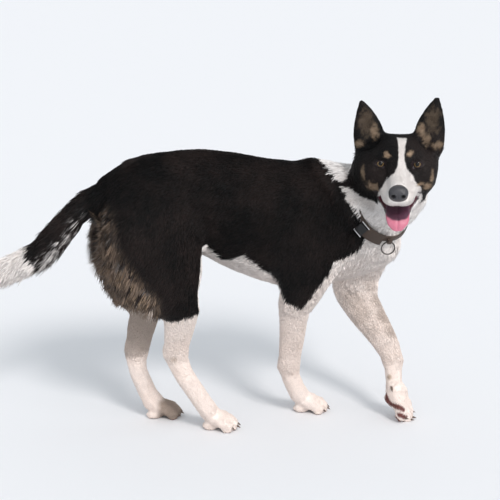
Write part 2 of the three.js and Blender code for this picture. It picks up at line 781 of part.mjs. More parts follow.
// A band round the collar's axis, leaning with the collar's flare.
function band(inner, outer, width, middle = 0) {
  const profile = [[inner, -1], [outer, -1], [outer, 1], [inner, 1], [inner, -1]].map(([r, up]) => {
    const along = middle + (up * width) / 2;
    return new THREE.Vector2(Math.max(0, r - COLLAR.flare * along), along);
  });
  return solidOf(new THREE.LatheGeometry(profile, 24).rotateZ(-Math.PI / 2).applyMatrix4(collar));
}

function strap(grow) {
  const [inner, outer] = [COLLAR.radius - grow, COLLAR.radius + COLLAR.thick + grow];
  const beforeEnd = THREE.MathUtils.degToRad(COLLAR.end - 90);
  const direction = within(collar, 0, Math.cos(beforeEnd), Math.sin(beforeEnd)).sub(COLLAR.middle);
  const wide = band(inner, outer, STRAP.wide + 2 * grow);
  const narrow = band(inner, outer, STRAP.narrow + 2 * grow, STRAP.narrowAlong);
  return narrow.add(wide.intersect(block(COLLAR.middle, direction, 100)(grow)));
}

// The frame of a thing on the strap at an angle: x along the collar's axis, y outwards and z along the strap.
function onStrap(angle, along, out) {
  const turn = new THREE.Matrix4().makeRotationX(THREE.MathUtils.degToRad(angle));
  const lean = new THREE.Matrix4().makeRotationZ(-Math.atan(COLLAR.flare));
  const radius = COLLAR.radius + COLLAR.thick - COLLAR.flare * along;
  const toRim = new THREE.Matrix4().makeTranslation(along, radius, 0);
  const shift = new THREE.Matrix4().makeTranslation(0, out, 0);
  return collar.clone().multiply(turn).multiply(toRim).multiply(lean).multiply(shift);
}

function boxOnStrap(frame, wide, thick, long, grow = 0) {
  return solidOf(new THREE.BoxGeometry(wide + 2 * grow, thick + 2 * grow, long + 2 * grow).applyMatrix4(frame));
}

// A frame with the ring in its x-y plane.
function ringFrame() {
  const z = RING.facing.clone().normalize();
  const x = v(1, 0, 0).addScaledVector(z, -z.x).normalize();
  return new THREE.Matrix4().makeBasis(x, z.clone().cross(x), z).setPosition(RING.middle);
}

const ring = (grow) => solidOf(
  new THREE.TorusGeometry(RING.radius, RING.wire + grow, 6, 16).applyMatrix4(ringFrame()),
);

// ---------------------------------------------------------------- assembly

const headBox = boxOf(150, 345, -265, 0, 380, 655);
const noseBox = boxOf(150, 340, -265, -150, 440, 530);
const tongueBox = boxOf(150, 340, -265, -50, 380, 500);
const bodyBox = boxOf(-590, 330, -170, 130, 195, 570);
const grown = (distance, by) => (x, y, z) => distance(x, y, z) - by;

const [headWhole] = part(solidOfField(flesh, headBox, MESHES.head), HEAD_CUT);
let [jawSolid, headSolid] = part(headWhole, JAW_CUT);
for (const [name, { side }] of Object.entries(EARS)) {
  const [ear, skullLeft] = part(headSolid, earCut(side));
  addSolid(`ear_${name}`, withoutSlivers(ear), COLOURS.black);
  addSolid(`eye_${name}`, eyeball(side)(0), COLOURS.eye, 0.1);
  headSolid = skullLeft.subtract(eyeball(side)(GAP));
}

addSolid("nose", solidOfField(field(noseLeather, nostrils), noseBox, MESHES.nose), COLOURS.nose, 0.4);
headSolid = headSolid.subtract(solidOfField(grown(field(noseLeather), 2 * GAP), noseBox, MESHES.noseRoom));

const tongueRoom = solidOfField(grown(field(tongue), 2 * GAP), tongueBox, MESHES.tongueRoom);
addSolid("tongue", withoutSlivers(solidOfField(field(tongue), tongueBox, MESHES.tongue)), COLOURS.tongue, 0.4);
headSolid = headSolid.subtract(tongueRoom);
jawSolid = jawSolid.subtract(tongueRoom);

const collarOuter = COLLAR.radius + COLLAR.thick + GAP;
const underBuckle = band(0, collarOuter, 3 * STRAP.wide);
const buckleFrame = onStrap(BUCKLE.angle, BUCKLE.along, BUCKLE.thick / 2);
const keeperFrame = onStrap(KEEPER.angle, KEEPER.along, KEEPER.thick / 2);
const buckleRoom = boxOnStrap(
  onStrap(BUCKLE.angle, BUCKLE.along, BUCKLE_ROOM.out), BUCKLE_ROOM.wide, BUCKLE_ROOM.deep, BUCKLE_ROOM.long,
);

addSolid(
  "collar_buckle",
  boxOnStrap(buckleFrame, BUCKLE.wide, BUCKLE.thick, BUCKLE.long).subtract(underBuckle),
  COLOURS.buckle, 0.45,
);
for (const side of [1, -1]) {
  const along = BUCKLE.along + side * (BUCKLE.wide / 2 + BUCKLE.barRadius + 2 * GAP);
  const bar = new THREE.CapsuleGeometry(BUCKLE.barRadius, BUCKLE.long, 2, 6).rotateX(Math.PI / 2);
  bar.applyMatrix4(onStrap(BUCKLE.angle, along, BUCKLE.thick / 2));
  addMesh(`collar_bar_${side > 0 ? "front" : "back"}`, bar, COLOURS.metal, 0.3, 1);
}
addSolid("collar_ring", ring(0), COLOURS.metal, 0.3, 1);
addSolid(
  "collar_keeper",
  boxOnStrap(keeperFrame, KEEPER.wide, KEEPER.thick, KEEPER.long).subtract(underBuckle).subtract(ring(GAP)),
  COLOURS.strap, 0.7,
);

const [, bodySolid] = part(solidOfField(bareBody, bodyBox, MESHES.body), HEAD_CUT);
const [neckSolid, shoulders] = part(bodySolid.subtract(strap(GAP)).subtract(buckleRoom), NECK_CUT);
const [tailSolid, trunkAndLegs] = part(shoulders, TAIL_CUT);
let trunkSolid = trunkAndLegs;

const aboveFloor = block(v(0, 0, 0), v(0, 0, 1), 400, 1600)(0);
for (const [name, { names, knee, ankle, root }] of Object.entries(LEG_CUTS)) {
  const kneeCut = block(...knee, 300, 124, 200);
  const rootBox = root.high.clone().sub(root.low);
  const foot = feet[name];
  const rootBlock = block(
    v((root.low.x + root.high.x) / 2, (root.low.y + root.high.y) / 2, root.low.z),
    v(0, 0, 1), rootBox.z, rootBox.y, rootBox.x,
  );
  [, trunkSolid] = part(trunkSolid, kneeCut);
  const [upper, trunkLeft] = part(trunkSolid, joined(egg(root.middle, root.half), rootBlock));
  trunkSolid = trunkLeft;
  const box = new THREE.Box3().setFromPoints([knee[0], ankle[0], FEET[name].at]).expandByScalar(LEG_MARGIN);
  const [below] = part(solidOfField(field(legShapes(name)), box, MESHES.leg), block(...knee, 500));
  const [footWhole, shank] = part(below, block(...ankle, 500));
  let footSolid = footWhole.intersect(aboveFloor);
  foot.claws.forEach((place, i) => {
    const shape = claw(...place);
    footSolid = footSolid.subtract(shape(GAP));
    addSolid(i < 4 ? `claw_${name}_${i + 1}` : `dewclaw_${name}`, shape(0), COLOURS.claw, 0.5);
  });
  addSolid(names[0], withoutSlivers(upper), COLOURS.black);
  addSolid(names[1], withoutSlivers(shank), COLOURS.white);
  addSolid(names[2], withoutSlivers(footSolid), COLOURS.white);
}

addSolid("head", withoutSlivers(headSolid), COLOURS.black);
addSolid("jaw", withoutSlivers(jawSolid), COLOURS.white);
addSolid("neck", withoutSlivers(neckSolid), COLOURS.white);
addSolid("trunk", withoutSlivers(trunkSolid), COLOURS.black);
addSolid("tail", withoutSlivers(tailSolid), COLOURS.black);
addSolid("collar_strap", withoutSlivers(strap(0)), COLOURS.strap, 0.7);

// The origin is on the floor, under the middle of the whole dog's box.
const whole = new THREE.Box3().setFromObject(group, true);
group.position.set(-(whole.min.x + whole.max.x) / 2, -(whole.min.y + whole.max.y) / 2, -whole.min.z);

export default group;
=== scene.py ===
"""A walking dog, black and white with tan points, mouth open, in a leather collar.

One skin replaces the solids of flesh. It lies inside them by the coat's depth, and
locks of hair, each a thin closed mesh, lie over it out to about the solids' faces.
"""

import itertools
import math

import bmesh
import bpy
import numpy as np
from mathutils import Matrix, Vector
from mathutils.bvhtree import BVHTree
from mathutils.kdtree import KDTree


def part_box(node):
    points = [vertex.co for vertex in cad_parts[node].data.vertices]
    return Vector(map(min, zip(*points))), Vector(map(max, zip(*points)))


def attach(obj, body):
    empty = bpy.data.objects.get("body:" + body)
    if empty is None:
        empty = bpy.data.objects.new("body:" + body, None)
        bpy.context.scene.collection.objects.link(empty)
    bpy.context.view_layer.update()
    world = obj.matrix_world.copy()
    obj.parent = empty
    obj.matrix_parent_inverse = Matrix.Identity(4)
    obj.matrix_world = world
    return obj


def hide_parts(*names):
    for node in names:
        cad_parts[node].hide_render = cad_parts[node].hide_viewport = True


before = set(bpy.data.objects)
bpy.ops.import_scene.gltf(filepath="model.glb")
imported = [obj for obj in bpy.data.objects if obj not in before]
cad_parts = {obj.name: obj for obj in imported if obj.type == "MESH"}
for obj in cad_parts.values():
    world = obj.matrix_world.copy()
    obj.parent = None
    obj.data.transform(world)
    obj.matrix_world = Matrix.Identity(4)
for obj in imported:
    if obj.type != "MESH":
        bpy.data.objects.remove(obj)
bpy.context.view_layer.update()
DICE = np.random.default_rng(11)

# ---------------------------------------------------------------- what it is made of

def both(*parts):
    """The names of the right and the left node of each of these parts."""
    return [f"{part}_{side}" for part in parts for side in ("right", "left")]


EARS = ["ear_left", "ear_right"]
EYES = ["eye_left", "eye_right"]
UPPER_FACE = ["head", "nose"] + EYES
HAUNCH = ["trunk"] + both("thigh")
PARTS = (["head", "jaw", "neck", "trunk", "tail"] + EARS
         + both("thigh", "shank", "hind_foot", "shoulder", "forearm", "fore_foot"))
NAMES = PARTS + EYES + ["nose", "collar_strap"]

VOXEL = 0.0032          # the skin's grid
GROW = 0.0006           # each solid grows by this, so that the thin cuts close
STRAP_GROW = 0.003      # the strap grows more, and so closes its channel in the neck


# ---------------------------------------------------------------- arrays and meshes

def points_of(mesh):
    flat = np.empty(len(mesh.vertices) * 3, np.float32)
    mesh.vertices.foreach_get("co", flat)
    return flat.reshape(-1, 3).astype(np.float64)


def triangles_of(mesh):
    mesh.calc_loop_triangles()
    flat = np.empty(len(mesh.loop_triangles) * 3, np.int32)
    mesh.loop_triangles.foreach_get("vertices", flat)
    return flat.reshape(-1, 3)


def set_points(mesh, points):
    mesh.vertices.foreach_set("co", points.astype(np.float32).ravel())
    mesh.update()


def unit(vectors):
    size = np.linalg.norm(vectors, axis=-1, keepdims=True)
    return vectors / np.maximum(size, 1e-12)


def dot(a, b):
    return np.sum(a * b, axis=-1)


def ease(t):
    """Turns an even rise from 0 to 1 into a smooth one."""
    return t * t * (3.0 - 2.0 * t)


def ramp(value, low, high):
    """0 below low, 1 above high, and smooth between."""
    return ease(np.clip((value - low) / (high - low), 0.0, 1.0))


def fall(value, low, high):
    """1 below low, 0 above high, and smooth between."""
    return ramp(-value, -high, -low)


def bell(value, centre, half):
    """1 at its centre, falling off smoothly to each side."""
    return np.exp(-((value - centre) / half) ** 2)


def mix(a, b, share):
    return a + (b - a) * share


def add_object(name, mesh):
    made = bpy.data.objects.new(name, mesh)
    bpy.context.scene.collection.objects.link(made)
    return made


def shade_smooth(mesh):
    mesh.polygons.foreach_set("use_smooth", np.ones(len(mesh.polygons), bool))


def mesh_from(name, points, faces):
    """A smooth mesh from arrays of points and of triangles or quads."""
    mesh = bpy.data.meshes.new(name)
    faces = np.asarray(faces, np.int32)
    count, sides = faces.shape
    mesh.vertices.add(len(points))
    mesh.vertices.foreach_set("co", np.asarray(points, np.float32).ravel())
    mesh.loops.add(count * sides)
    mesh.loops.foreach_set("vertex_index", faces.ravel())
    mesh.polygons.add(count)
    mesh.polygons.foreach_set("loop_start", np.arange(count, dtype=np.int32) * sides)
    mesh.polygons.foreach_set("loop_total", np.full(count, sides, np.int32))
    shade_smooth(mesh)
    mesh.update(calc_edges=True)
    return mesh


def modified(name, points, faces, kind, settings):
    """A new mesh: these points and faces with one of Blender's modifiers applied."""
    held = add_object(name, mesh_from(name, points, faces))
    modifier = held.modifiers.new("shape", kind)
    for setting, value in settings.items():
        setattr(modifier, setting, value)
    bpy.context.view_layer.update()
    graph = bpy.context.evaluated_depsgraph_get()
    made = bpy.data.meshes.new_from_object(held.evaluated_get(graph))
    bpy.data.objects.remove(held)
    return made


def gridded(name, points, faces, voxel):
    """The same shape remade on an even grid, as a new mesh."""
    return modified(name, points, faces, "REMESH", {"mode": "VOXEL", "voxel_size": voxel})


def gathered(solids):
    """The points of some solids in one array, and their triangles in another."""
    points, triangles, start = [], [], 0
    for some, faces in solids:
        points.append(some)
        triangles.append(faces + start)
        start += len(some)
    return np.concatenate(points), np.concatenate(triangles)


def tree_of(points, triangles):
    return BVHTree.FromPolygons(points.tolist(), triangles.tolist())


def add_colour(mesh, name, values):
    """A colour for each point, from an array of three numbers a point."""
    full = np.ones((len(values), 4), np.float32)
    full[:, :3] = values
    layer = mesh.color_attributes.new(name, "FLOAT_COLOR", "POINT")
    layer.data.foreach_set("color", full.ravel())


def belongs(part, *names):
    """True where a point's part is one of these."""
    return np.isin(part, [NAMES.index(name) for name in names])


class Net:
    """The edges of a mesh, for smoothing values over it."""

    def __init__(self, mesh):
        pairs = np.empty(len(mesh.edges) * 2, np.int32)
        mesh.edges.foreach_get("vertices", pairs)
        pairs = pairs.reshape(-1, 2)
        self.near = np.concatenate([pairs[:, 0], pairs[:, 1]])
        self.far = np.concatenate([pairs[:, 1], pairs[:, 0]])
        self.size = len(mesh.vertices)
        self.degree = np.maximum(np.bincount(self.near, minlength=self.size), 1)

    def average(self, values):
        values = np.asarray(values, np.float64)
        if values.ndim == 1:
            total = np.bincount(self.near, values[self.far], self.size)
            return total / self.degree
        columns = [np.bincount(self.near, values[self.far, k], self.size)
                   for k in range(values.shape[1])]
        return np.stack(columns, 1) / self.degree[:, None]

    def smooth(self, values, times, share=0.5):
        for _ in range(times):
            values = mix(values, self.average(values), share)
        return values

    def rounded(self, points, times, press, release, soft=1.0):
        """Presses bumps flat and lets the shape swell back, so that it keeps its size."""
        for _ in range(times):
            points = points + (self.average(points) - points) * press * soft
            points = points - (self.average(points) - points) * release * soft
        return points


def point_normals(points, triangles):
    a, b, c = (points[triangles[:, k]] for k in range(3))
    across = np.cross(b - a, c - a)
    total = np.zeros_like(points)
    for k in range(3):
        for axis in range(3):
            total[:, axis] += np.bincount(
                triangles[:, k], across[:, axis], len(points))
    return unit(total)


# ---------------------------------------------------------------- noise in space

CELL_PRIMES, MIX_PRIME = (374761393, 668265263, 2246822519), 1274126177
NOISE_START, SEED_STEP = 1000.0, 17.3       # each seed reads another part of space


def lattice(cells):
    """A value from 0 to 1 for each cell of three whole numbers."""
    mixed = sum(cells[:, k].astype(np.uint32) * np.uint32(prime)
                for k, prime in enumerate(CELL_PRIMES))
    mixed = (mixed ^ (mixed >> np.uint32(13))) * np.uint32(MIX_PRIME)
    mixed = mixed ^ (mixed >> np.uint32(16))
    return mixed.astype(np.float64) / (2 ** 32 - 1)


def noise(points, size, seed=0):
    """Smooth noise from -1 to 1, whose lumps are about this size."""
    place = points / size + NOISE_START + SEED_STEP * seed
    cell = np.floor(place).astype(np.int64)
    t = ease(place - cell)
    total = np.zeros(len(points))
    for corner in itertools.product((0, 1), repeat=3):
        near = np.where(corner, t, 1.0 - t)
        total += near[:, 0] * near[:, 1] * near[:, 2] * lattice(cell + np.array(corner))
    return 2.0 * total - 1.0


def noise01(points, size, seed):
    """The same noise, from 0 to 1."""
    return 0.5 + 0.5 * noise(points, size, seed)


# ---------------------------------------------------------------- the head's own frame

def middle(node):
    """The middle of a node's box."""
    low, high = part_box(node)
    return np.array((low + high) / 2)


EYE_BACK = 0.011        # the eyes' centres lie this far behind the face's origin
EYE_RADIUS = 0.011
NOSE_DROP = math.radians(20.08)     # the nose lies this far below straight ahead


class HeadFrame:
    """x out of the face, y to its left, z up, from between the eyes."""

    def __init__(self):
        left, right, nose = middle("eye_left"), middle("eye_right"), middle("nose")
        between = (left + right) / 2
        side = unit(left - right)
        ahead = unit(nose - between)
        over = np.cross(ahead, side)
        forward = ahead * math.cos(NOSE_DROP) + over * math.sin(NOSE_DROP)
        self.axes = np.stack([forward, side, np.cross(forward, side)])
        self.origin = between + EYE_BACK * forward

    def inside(self, points):
        return (np.asarray(points) - self.origin) @ self.axes.T

    def outside(self, local):
        return np.asarray(local) @ self.axes + self.origin


HEAD = HeadFrame()


# ---------------------------------------------------------------- the coat's markings

# The front edge of the black saddle on the right side: height, then length along.
SADDLE_HEIGHT = [0.20, 0.244, 0.254, 0.278, 0.299, 0.315, 0.333, 0.340, 0.347,
                 0.354, 0.374, 0.404, 0.420, 0.443, 0.468, 0.490, 0.509, 0.56]
SADDLE_FRONT = [0.190, 0.192, 0.201, 0.215, 0.231, 0.243, 0.250, 0.284, 0.303,
                0.311, 0.318, 0.318, 0.300, 0.284, 0.272, 0.257, 0.251, 0.24]
LEFT_STEP = 0.062       # the left foreleg stands this far ahead of the right one
MID_PLANE = 0.063       # the trunk's middle, across
TRUNK_CORE = 0.42       # the height of the trunk's middle
BREAST_EDGE = -0.002    # the black ends here across the breast, under the collar
BELLY_X = [-0.10, 0.016, 0.048, 0.085, 0.122, 0.146, 0.20, 0.26]
BELLY_ANGLE = [62, 46, 22, 44, 30, 22, 34, 70]
TAIL_BREAK = np.array([-0.307, 0.0, 0.359])
TAIL_ALONG = np.array([-0.883, 0.0, -0.469])

# The blaze, in the head's frame: height, half its width and its middle.
BLAZE_HEIGHT = [-0.060, -0.040, -0.030, -0.022, -0.014, -0.008, 0.000, 0.010,
                0.019, 0.032, 0.043]
BLAZE_HALF = [0.040, 0.037, 0.029, 0.024, 0.018, 0.013, 0.0078, 0.0054,
              0.0050, 0.0062, 0.0085]
BLAZE_MIDDLE = [0.004, 0.004, 0.003, 0.003, 0.004, 0.005, 0.0047, 0.0045,
                0.0042, 0.0042, 0.0047]
NAPE_HEIGHT = [-0.070, -0.030, 0.020]       # where the mask ends behind the head
NAPE_BACK = [-0.058, -0.066, -0.092]
MASK_SIDE = [0.025, 0.031, 0.044, 0.069, 0.088]
MASK_LOW = [-0.088, -0.084, -0.076, -0.070, -0.056]

# Tan marks on the head: middle, half sizes and strength.
TAN_MARKS = [
    ((0.003, -0.0222, 0.0170), (0.012, 0.0060, 0.0050), 0.9),
    ((0.000, 0.0198, 0.0205), (0.012, 0.0064, 0.0046), 0.85),
    ((0.003, -0.0450, -0.0425), (0.030, 0.0140, 0.0090), 0.70),
    ((0.000, 0.0530, -0.0400), (0.022, 0.0100, 0.0070), 0.85),
    ((0.010, 0.0380, -0.0335), (0.016, 0.0090, 0.0030), 0.75),
    ((-0.011, -0.0650, -0.0190), (0.016, 0.0040, 0.0115), 0.75),
    ((-0.003, 0.0610, -0.0230), (0.016, 0.0036, 0.0120), 0.75),
    ((-0.049, -0.0465, 0.0500), (0.014, 0.0080, 0.0130), 0.60),
    ((-0.049, 0.0400, 0.0560), (0.014, 0.0070, 0.0120), 0.60),
    ((-0.047, 0.0500, 0.0370), (0.014, 0.0070, 0.0120), 0.55),
    ((-0.049, -0.0770, 0.0260), (0.014, 0.0110, 0.0075), 0.60),
    ((-0.047, 0.0720, 0.0265), (0.014, 0.0110, 0.0075), 0.60),
    ((-0.050, -0.0620, 0.0680), (0.012, 0.0130, 0.0240), 0.18),
    ((-0.050, 0.0600, 0.0740), (0.012, 0.0130, 0.0260), 0.18),
]


EDGE_LEAN = 0.85        # the front edge leans, so it is nearer than it is along x
SHOULDER_LOW, THIGH_LOW = 0.2435, 0.2425    # where the black ends down each leg
DEEP = 0.03             # how far inside the black counts where an edge does not hold
BELLY_REACH = 0.0016    # metres to a degree round the belly


def saddle(points):
    """How far inside the black saddle a point is, in metres."""
    x, y, z = points.T
    low = fall(z, 0.33, 0.36)
    left = ramp(y, MID_PLANE - 0.02, MID_PLANE + 0.03)
    edge = np.interp(z, SADDLE_HEIGHT, SADDLE_FRONT) + LEFT_STEP * low * left
    inside = (edge - x) * EDGE_LEAN
    foot = np.where(x > 0.05, SHOULDER_LOW + 0.012 * left, THIGH_LOW + 0.2 * (x + 0.04))
    inside = np.minimum(inside, z - foot)
    aside = np.abs(y - MID_PLANE)
    under = np.degrees(np.arctan2(aside, TRUNK_CORE - z))
    belly = (under - np.interp(x, BELLY_X, BELLY_ANGLE)) * BELLY_REACH
    near_belly = ramp(x, -0.14, -0.10) * fall(aside, 0.072, 0.088)
    breast = ramp(x, 0.255, 0.275) * fall(z, 0.400, 0.415)
    inside = np.minimum(inside, mix(DEEP, belly, near_belly * (1.0 - breast)))
    inside = np.minimum(inside, mix(DEEP, BREAST_EDGE - y, breast))
    return np.minimum(inside, -(points - TAIL_BREAK) @ TAIL_ALONG)


BLAZE_TOP = 0.0435      # where the blaze ends on the crown
BLAZE_BACK = -0.032     # and behind which there is none
MUZZLE_BACK, MUZZLE_TOP = 0.036, -0.012
BEHIND_HEAD = -0.10     # the mask is only looked for ahead of this
EDGE_BLEND = 0.0012     # half the width of the edge between black and white
TAN_INNER, TAN_OUTER = 0.45, 1.45


def mask(local):
    """How far inside the black mask of the head a point is, in metres."""
    x, y, z = local.T
    low = np.interp(np.abs(y), MASK_SIDE, MASK_LOW)
    inside = np.minimum(z - low, x - np.interp(z, NAPE_HEIGHT, NAPE_BACK))
    half = np.interp(z, BLAZE_HEIGHT, BLAZE_HALF)
    centre = np.interp(z, BLAZE_HEIGHT, BLAZE_MIDDLE)
    blaze = np.minimum(half - np.abs(y - centre), BLAZE_TOP - z)
    blaze = np.where(x > BLAZE_BACK, blaze, -0.02)
    muzzle = np.minimum(x - MUZZLE_BACK, MUZZLE_TOP - z)
    return np.minimum(inside, -np.maximum(blaze, muzzle))


def markings(points, part):
    """White and tan shares of the coat at each point."""
    local = HEAD.inside(points)
    ragged = 0.0042 * noise(points, 0.009, 1) + 0.0032 * noise(points, 0.004, 2)
    fine = 0.0010 * noise(points, 0.004, 3) + 0.0006 * noise(points, 0.002, 4)
    near_head = belongs(part, "head", "jaw", *EARS) | (local[:, 0] > BEHIND_HEAD)
    black = np.maximum(saddle(points) + ragged,
                       np.where(near_head, mask(local) + fine, -1.0))
    black = np.where(belongs(part, *EARS), 0.02, black)
    lumps = 0.45 * noise(points, 0.005, 5)
    specks = 0.25 * noise(points, 0.0018, 7)
    tan = np.zeros(len(points))
    for centre, half, strength in TAN_MARKS:
        away = np.linalg.norm((local - centre) / np.array(half), axis=1) + lumps + specks
        tan = np.maximum(tan, strength * fall(away, TAN_INNER, TAN_OUTER))
    return fall(black, -EDGE_BLEND, EDGE_BLEND), tan


# ---------------------------------------------------------------- the skin

def grown_copy(name, grow):
    """A solid's points, welded and moved outwards by this much, and its triangles."""
    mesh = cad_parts[name].data
    points, triangles = points_of(mesh), triangles_of(mesh)
    welded, first = np.unique(np.round(points, 6), axis=0, return_inverse=True)
    triangles = first.reshape(-1)[triangles]
    return welded + grow * point_normals(welded, triangles), triangles


def joined_solids():
    """All the solids as one, and the number of the solid each triangle is from."""
    solids = [grown_copy(name, STRAP_GROW if name == "collar_strap" else GROW)
              for name in NAMES]
    owner = [np.full(len(faces), index) for index, (_, faces) in enumerate(solids)]
    points, triangles = gathered(solids)
    return points, triangles, np.concatenate(owner)


def voxel_skin():
    """The skin before it is shaped, a tree of the solids' faces and their owners."""
    points, triangles, owner = joined_solids()
    skin = add_object("skin", gridded("skin", points, triangles, VOXEL))
    return skin, tree_of(points, triangles), owner


def keep_largest(mesh):
    """Drops the stray inner shells that the grid leaves."""
    net = bmesh.new()
    net.from_mesh(mesh)
    net.verts.ensure_lookup_table()
    seen = np.zeros(len(net.verts), bool)
    best = []
    for start in net.verts:
        if seen[start.index]:
            continue
        stack, group = [start], []
        seen[start.index] = True
        while stack:
            vert = stack.pop()
            group.append(vert)
            for edge in vert.link_edges:
                other = edge.other_vert(vert)
                if not seen[other.index]:
                    seen[other.index] = True
                    stack.append(other)
        if len(group) > len(best):
            best = group
    kept = set(best)
    bmesh.ops.delete(net, geom=[v for v in net.verts if v not in kept],
                     context="VERTS")
    net.to_mesh(mesh)
    net.free()


FINE_REACH, FINEST_REACH = 0.058, 0.017     # round the face, and round the eyes


def refine_face(mesh):
    """Splits the skin's faces on the face once, and round the eyes twice."""
    net = bmesh.new()
    net.from_mesh(mesh)
    eyes = [Vector(middle(eye)) for eye in EYES]
    muzzle = Vector(HEAD.outside([0.040, 0.0, -0.045]))
    for centres, reach in ((eyes + [muzzle], FINE_REACH), (eyes, FINEST_REACH)):
        chosen = []
        for edge in net.edges:
            place = (edge.verts[0].co + edge.verts[1].co) / 2
            if min((place - centre).length for centre in centres) < reach:
                chosen.append(edge)
        bmesh.ops.subdivide_edges(net, edges=chosen, cuts=1, use_grid_fill=True)
    bmesh.ops.triangulate(net, faces=[f for f in net.faces if len(f.verts) > 4])
    net.to_mesh(mesh)
    net.free()


def owners_of(points, tree, owner):
    """The number of the solid nearest to each point."""
    return np.array([owner[tree.find_nearest(Vector(point))[2]] for point in points])


# Depth, length and width of the coat on each part, in millimetres.
COAT = {
    "head": (1.3, 5.5, 0.80), "jaw": (1.3, 5.5, 0.85), "neck": (7.0, 21.0, 1.5),
    "trunk": (5.0, 20.0, 1.4), "tail": (11.0, 34.0, 1.8), "ear": (0.5, 3.8, 0.8),
    "thigh": (5.0, 19.0, 1.5), "shank": (2.2, 9.0, 1.15), "hind_foot": (1.0, 5.0, 0.95),
    "shoulder": (4.2, 17.0, 1.4), "forearm": (1.9, 8.0, 1.1),
    "fore_foot": (0.9, 4.5, 0.9), "eye": (0.8, 3.4, 0.75), "nose": (0.5, 2.6, 0.7),
    "collar_strap": (7.0, 21.0, 1.5),
}


def coat_of(name):
    """The coat's measures on a node, which are the same on both sides."""
    return COAT[name.removesuffix("_left").removesuffix("_right")]


# The front edge of the long hair down the back of the thighs: height, then length along.
FEATHER_HEIGHT = [0.284, 0.303, 0.325, 0.355, 0.382, 0.410, 0.440]
FEATHER_FRONT = [-0.082, -0.096, -0.114, -0.136, -0.153, -0.158, -0.160]


def feather(points):
    """1 on the long hair down the back of the thighs."""
    x, _, z = points.T
    behind = np.interp(z, FEATHER_HEIGHT, FEATHER_FRONT) - x
    return ramp(behind, -0.010, 0.018) * ramp(z, 0.225, 0.255) * fall(z, 0.440, 0.462)


def haunch(points, part):
    """1 on that long hair, and 0 on all other parts."""
    return feather(points) * belongs(part, *HAUNCH)


def ruff(points):
    """1 on the longer hair of the white ruff, where it meets the saddle."""
    x, _, z = points.T
    edge = np.interp(z, SADDLE_HEIGHT, SADDLE_FRONT)
    return fall(np.abs(x - edge - 0.018), 0.015, 0.05) * ramp(z, 0.40, 0.45)


SIZE_BLEND = 36         # how far the coat's sizes blend, in steps of the skin's grid


# What long hair adds to the coat's depth, length and width, in metres.
HEAD_BACK_MORE, CHEEK_MORE = (0.0020, 0.004, 0.0003), (0.0065, 0.012, 0.0004)
FEATHER_MORE, RUFF_MORE = (0.0085, 0.020, 0.0004), (0.0035, 0.013, 0.0003)


def coat_sizes(points, part, net):
    """The coat's depth, length and width at each point, in metres."""
    sizes = np.array([coat_of(name) for name in NAMES])[part] / 1000.0
    local = HEAD.inside(points)
    back = ramp(-local[:, 0], 0.020, 0.065) * belongs(part, "head")
    cheek = back * ramp(np.abs(local[:, 1]), 0.035, 0.07)
    for share, more in (
        (back, HEAD_BACK_MORE),
        (cheek, CHEEK_MORE),
        (haunch(points, part), FEATHER_MORE),
        (ruff(points) * belongs(part, "neck", "trunk"), RUFF_MORE),
    ):
        sizes = sizes + share[:, None] * np.array(more)
    sizes = net.smooth(sizes, SIZE_BLEND)
    sizes[:, 0] *= ramp(points[:, 2], 0.001, 0.006)
    return sizes


SOFT_PARTS = ["neck", "tail"] + HAUNCH + both("shoulder")
HARD_SHARE = 0.25       # how far the face and the feet are smoothed against the trunk
SHRINK_STEPS = 6


def smooth_skin(points, part, net):
    """Rounds off the solids' facets, most on the trunk and least on the face."""
    soft = belongs(part, *SOFT_PARTS).astype(float)
    soft = net.smooth(HARD_SHARE + (1.0 - HARD_SHARE) * soft, 10)[:, None]
    return net.rounded(points, 16, 0.55, 0.50, soft)


def shrink(points, triangles, depth, net):
    """Moves the skin inwards by the coat's depth, in small even steps."""
    for _ in range(SHRINK_STEPS):
        inward = net.smooth(point_normals(points, triangles), 3)
        points = points - inward * (depth / SHRINK_STEPS)[:, None]
        points = mix(points, net.average(points), 0.12 * ramp(depth, 0.002, 0.01)[:, None])
    return points


# ---------------------------------------------------------------- eyes and lids

LID_OUT, LID_IN = 47.0, 43.0        # half the opening towards ear and nose, in degrees
LID_UP, LID_DOWN = 27.0, 24.0
LID_TILT = math.radians(7)          # the outer corner is higher
LID_THICK = 0.0015


def eye_name(side):
    return "eye_left" if side > 0 else "eye_right"


def eye_axes(side, lift=0.0, tilt=LID_TILT):
    """Ahead, towards the ear, and up, for the eye on this side: 1 left, -1 right."""
    ahead = np.array([math.cos(lift), 0.0, math.sin(lift)])
    outer = np.array([0.0, float(side), 0.0])
    up = np.array([-math.sin(lift), 0.0, math.cos(lift)])
    c, s = math.cos(tilt), math.sin(tilt)
    return ahead, c * outer + s * up, c * up - s * outer


def eye_angles(local, side):
    """Each point as seen from the eye's centre: way, distance, degrees out and up."""
    centre = HEAD.inside(middle(eye_name(side)))
    ahead, outer, up = eye_axes(side)
    away = local - centre
    radius = np.linalg.norm(away, axis=1)
    way = unit(away)
    front = dot(way, ahead)
    out = np.degrees(np.arctan2(dot(way, outer), front))
    high = np.degrees(np.arctan2(dot(way, up), np.hypot(front, dot(way, outer))))
    return way, radius, out, high, front


def opening(out, high):
    """Below 1 inside the almond between the lids, and 1 on their edge."""
    wide = np.where(out > 0, LID_OUT, LID_IN)
    tall = np.where(high > 0, LID_UP, LID_DOWN)
    return np.sqrt((np.abs(out) / wide) ** 1.75 + (np.abs(high) / tall) ** 1.9)


# The lids' thick rim and the fold above the upper one: how high or deep, how far out
# on the scale of the opening, and half the width.
RIM_RISE, RIM_AT, RIM_HALF = 0.0007, 1.08, 0.10
FOLD_DEPTH, FOLD_AT, FOLD_HALF = 0.0009, 1.60, 0.13
UNDER_LIDS = 0.0090     # the skin lies this far from the eye's centre behind the opening


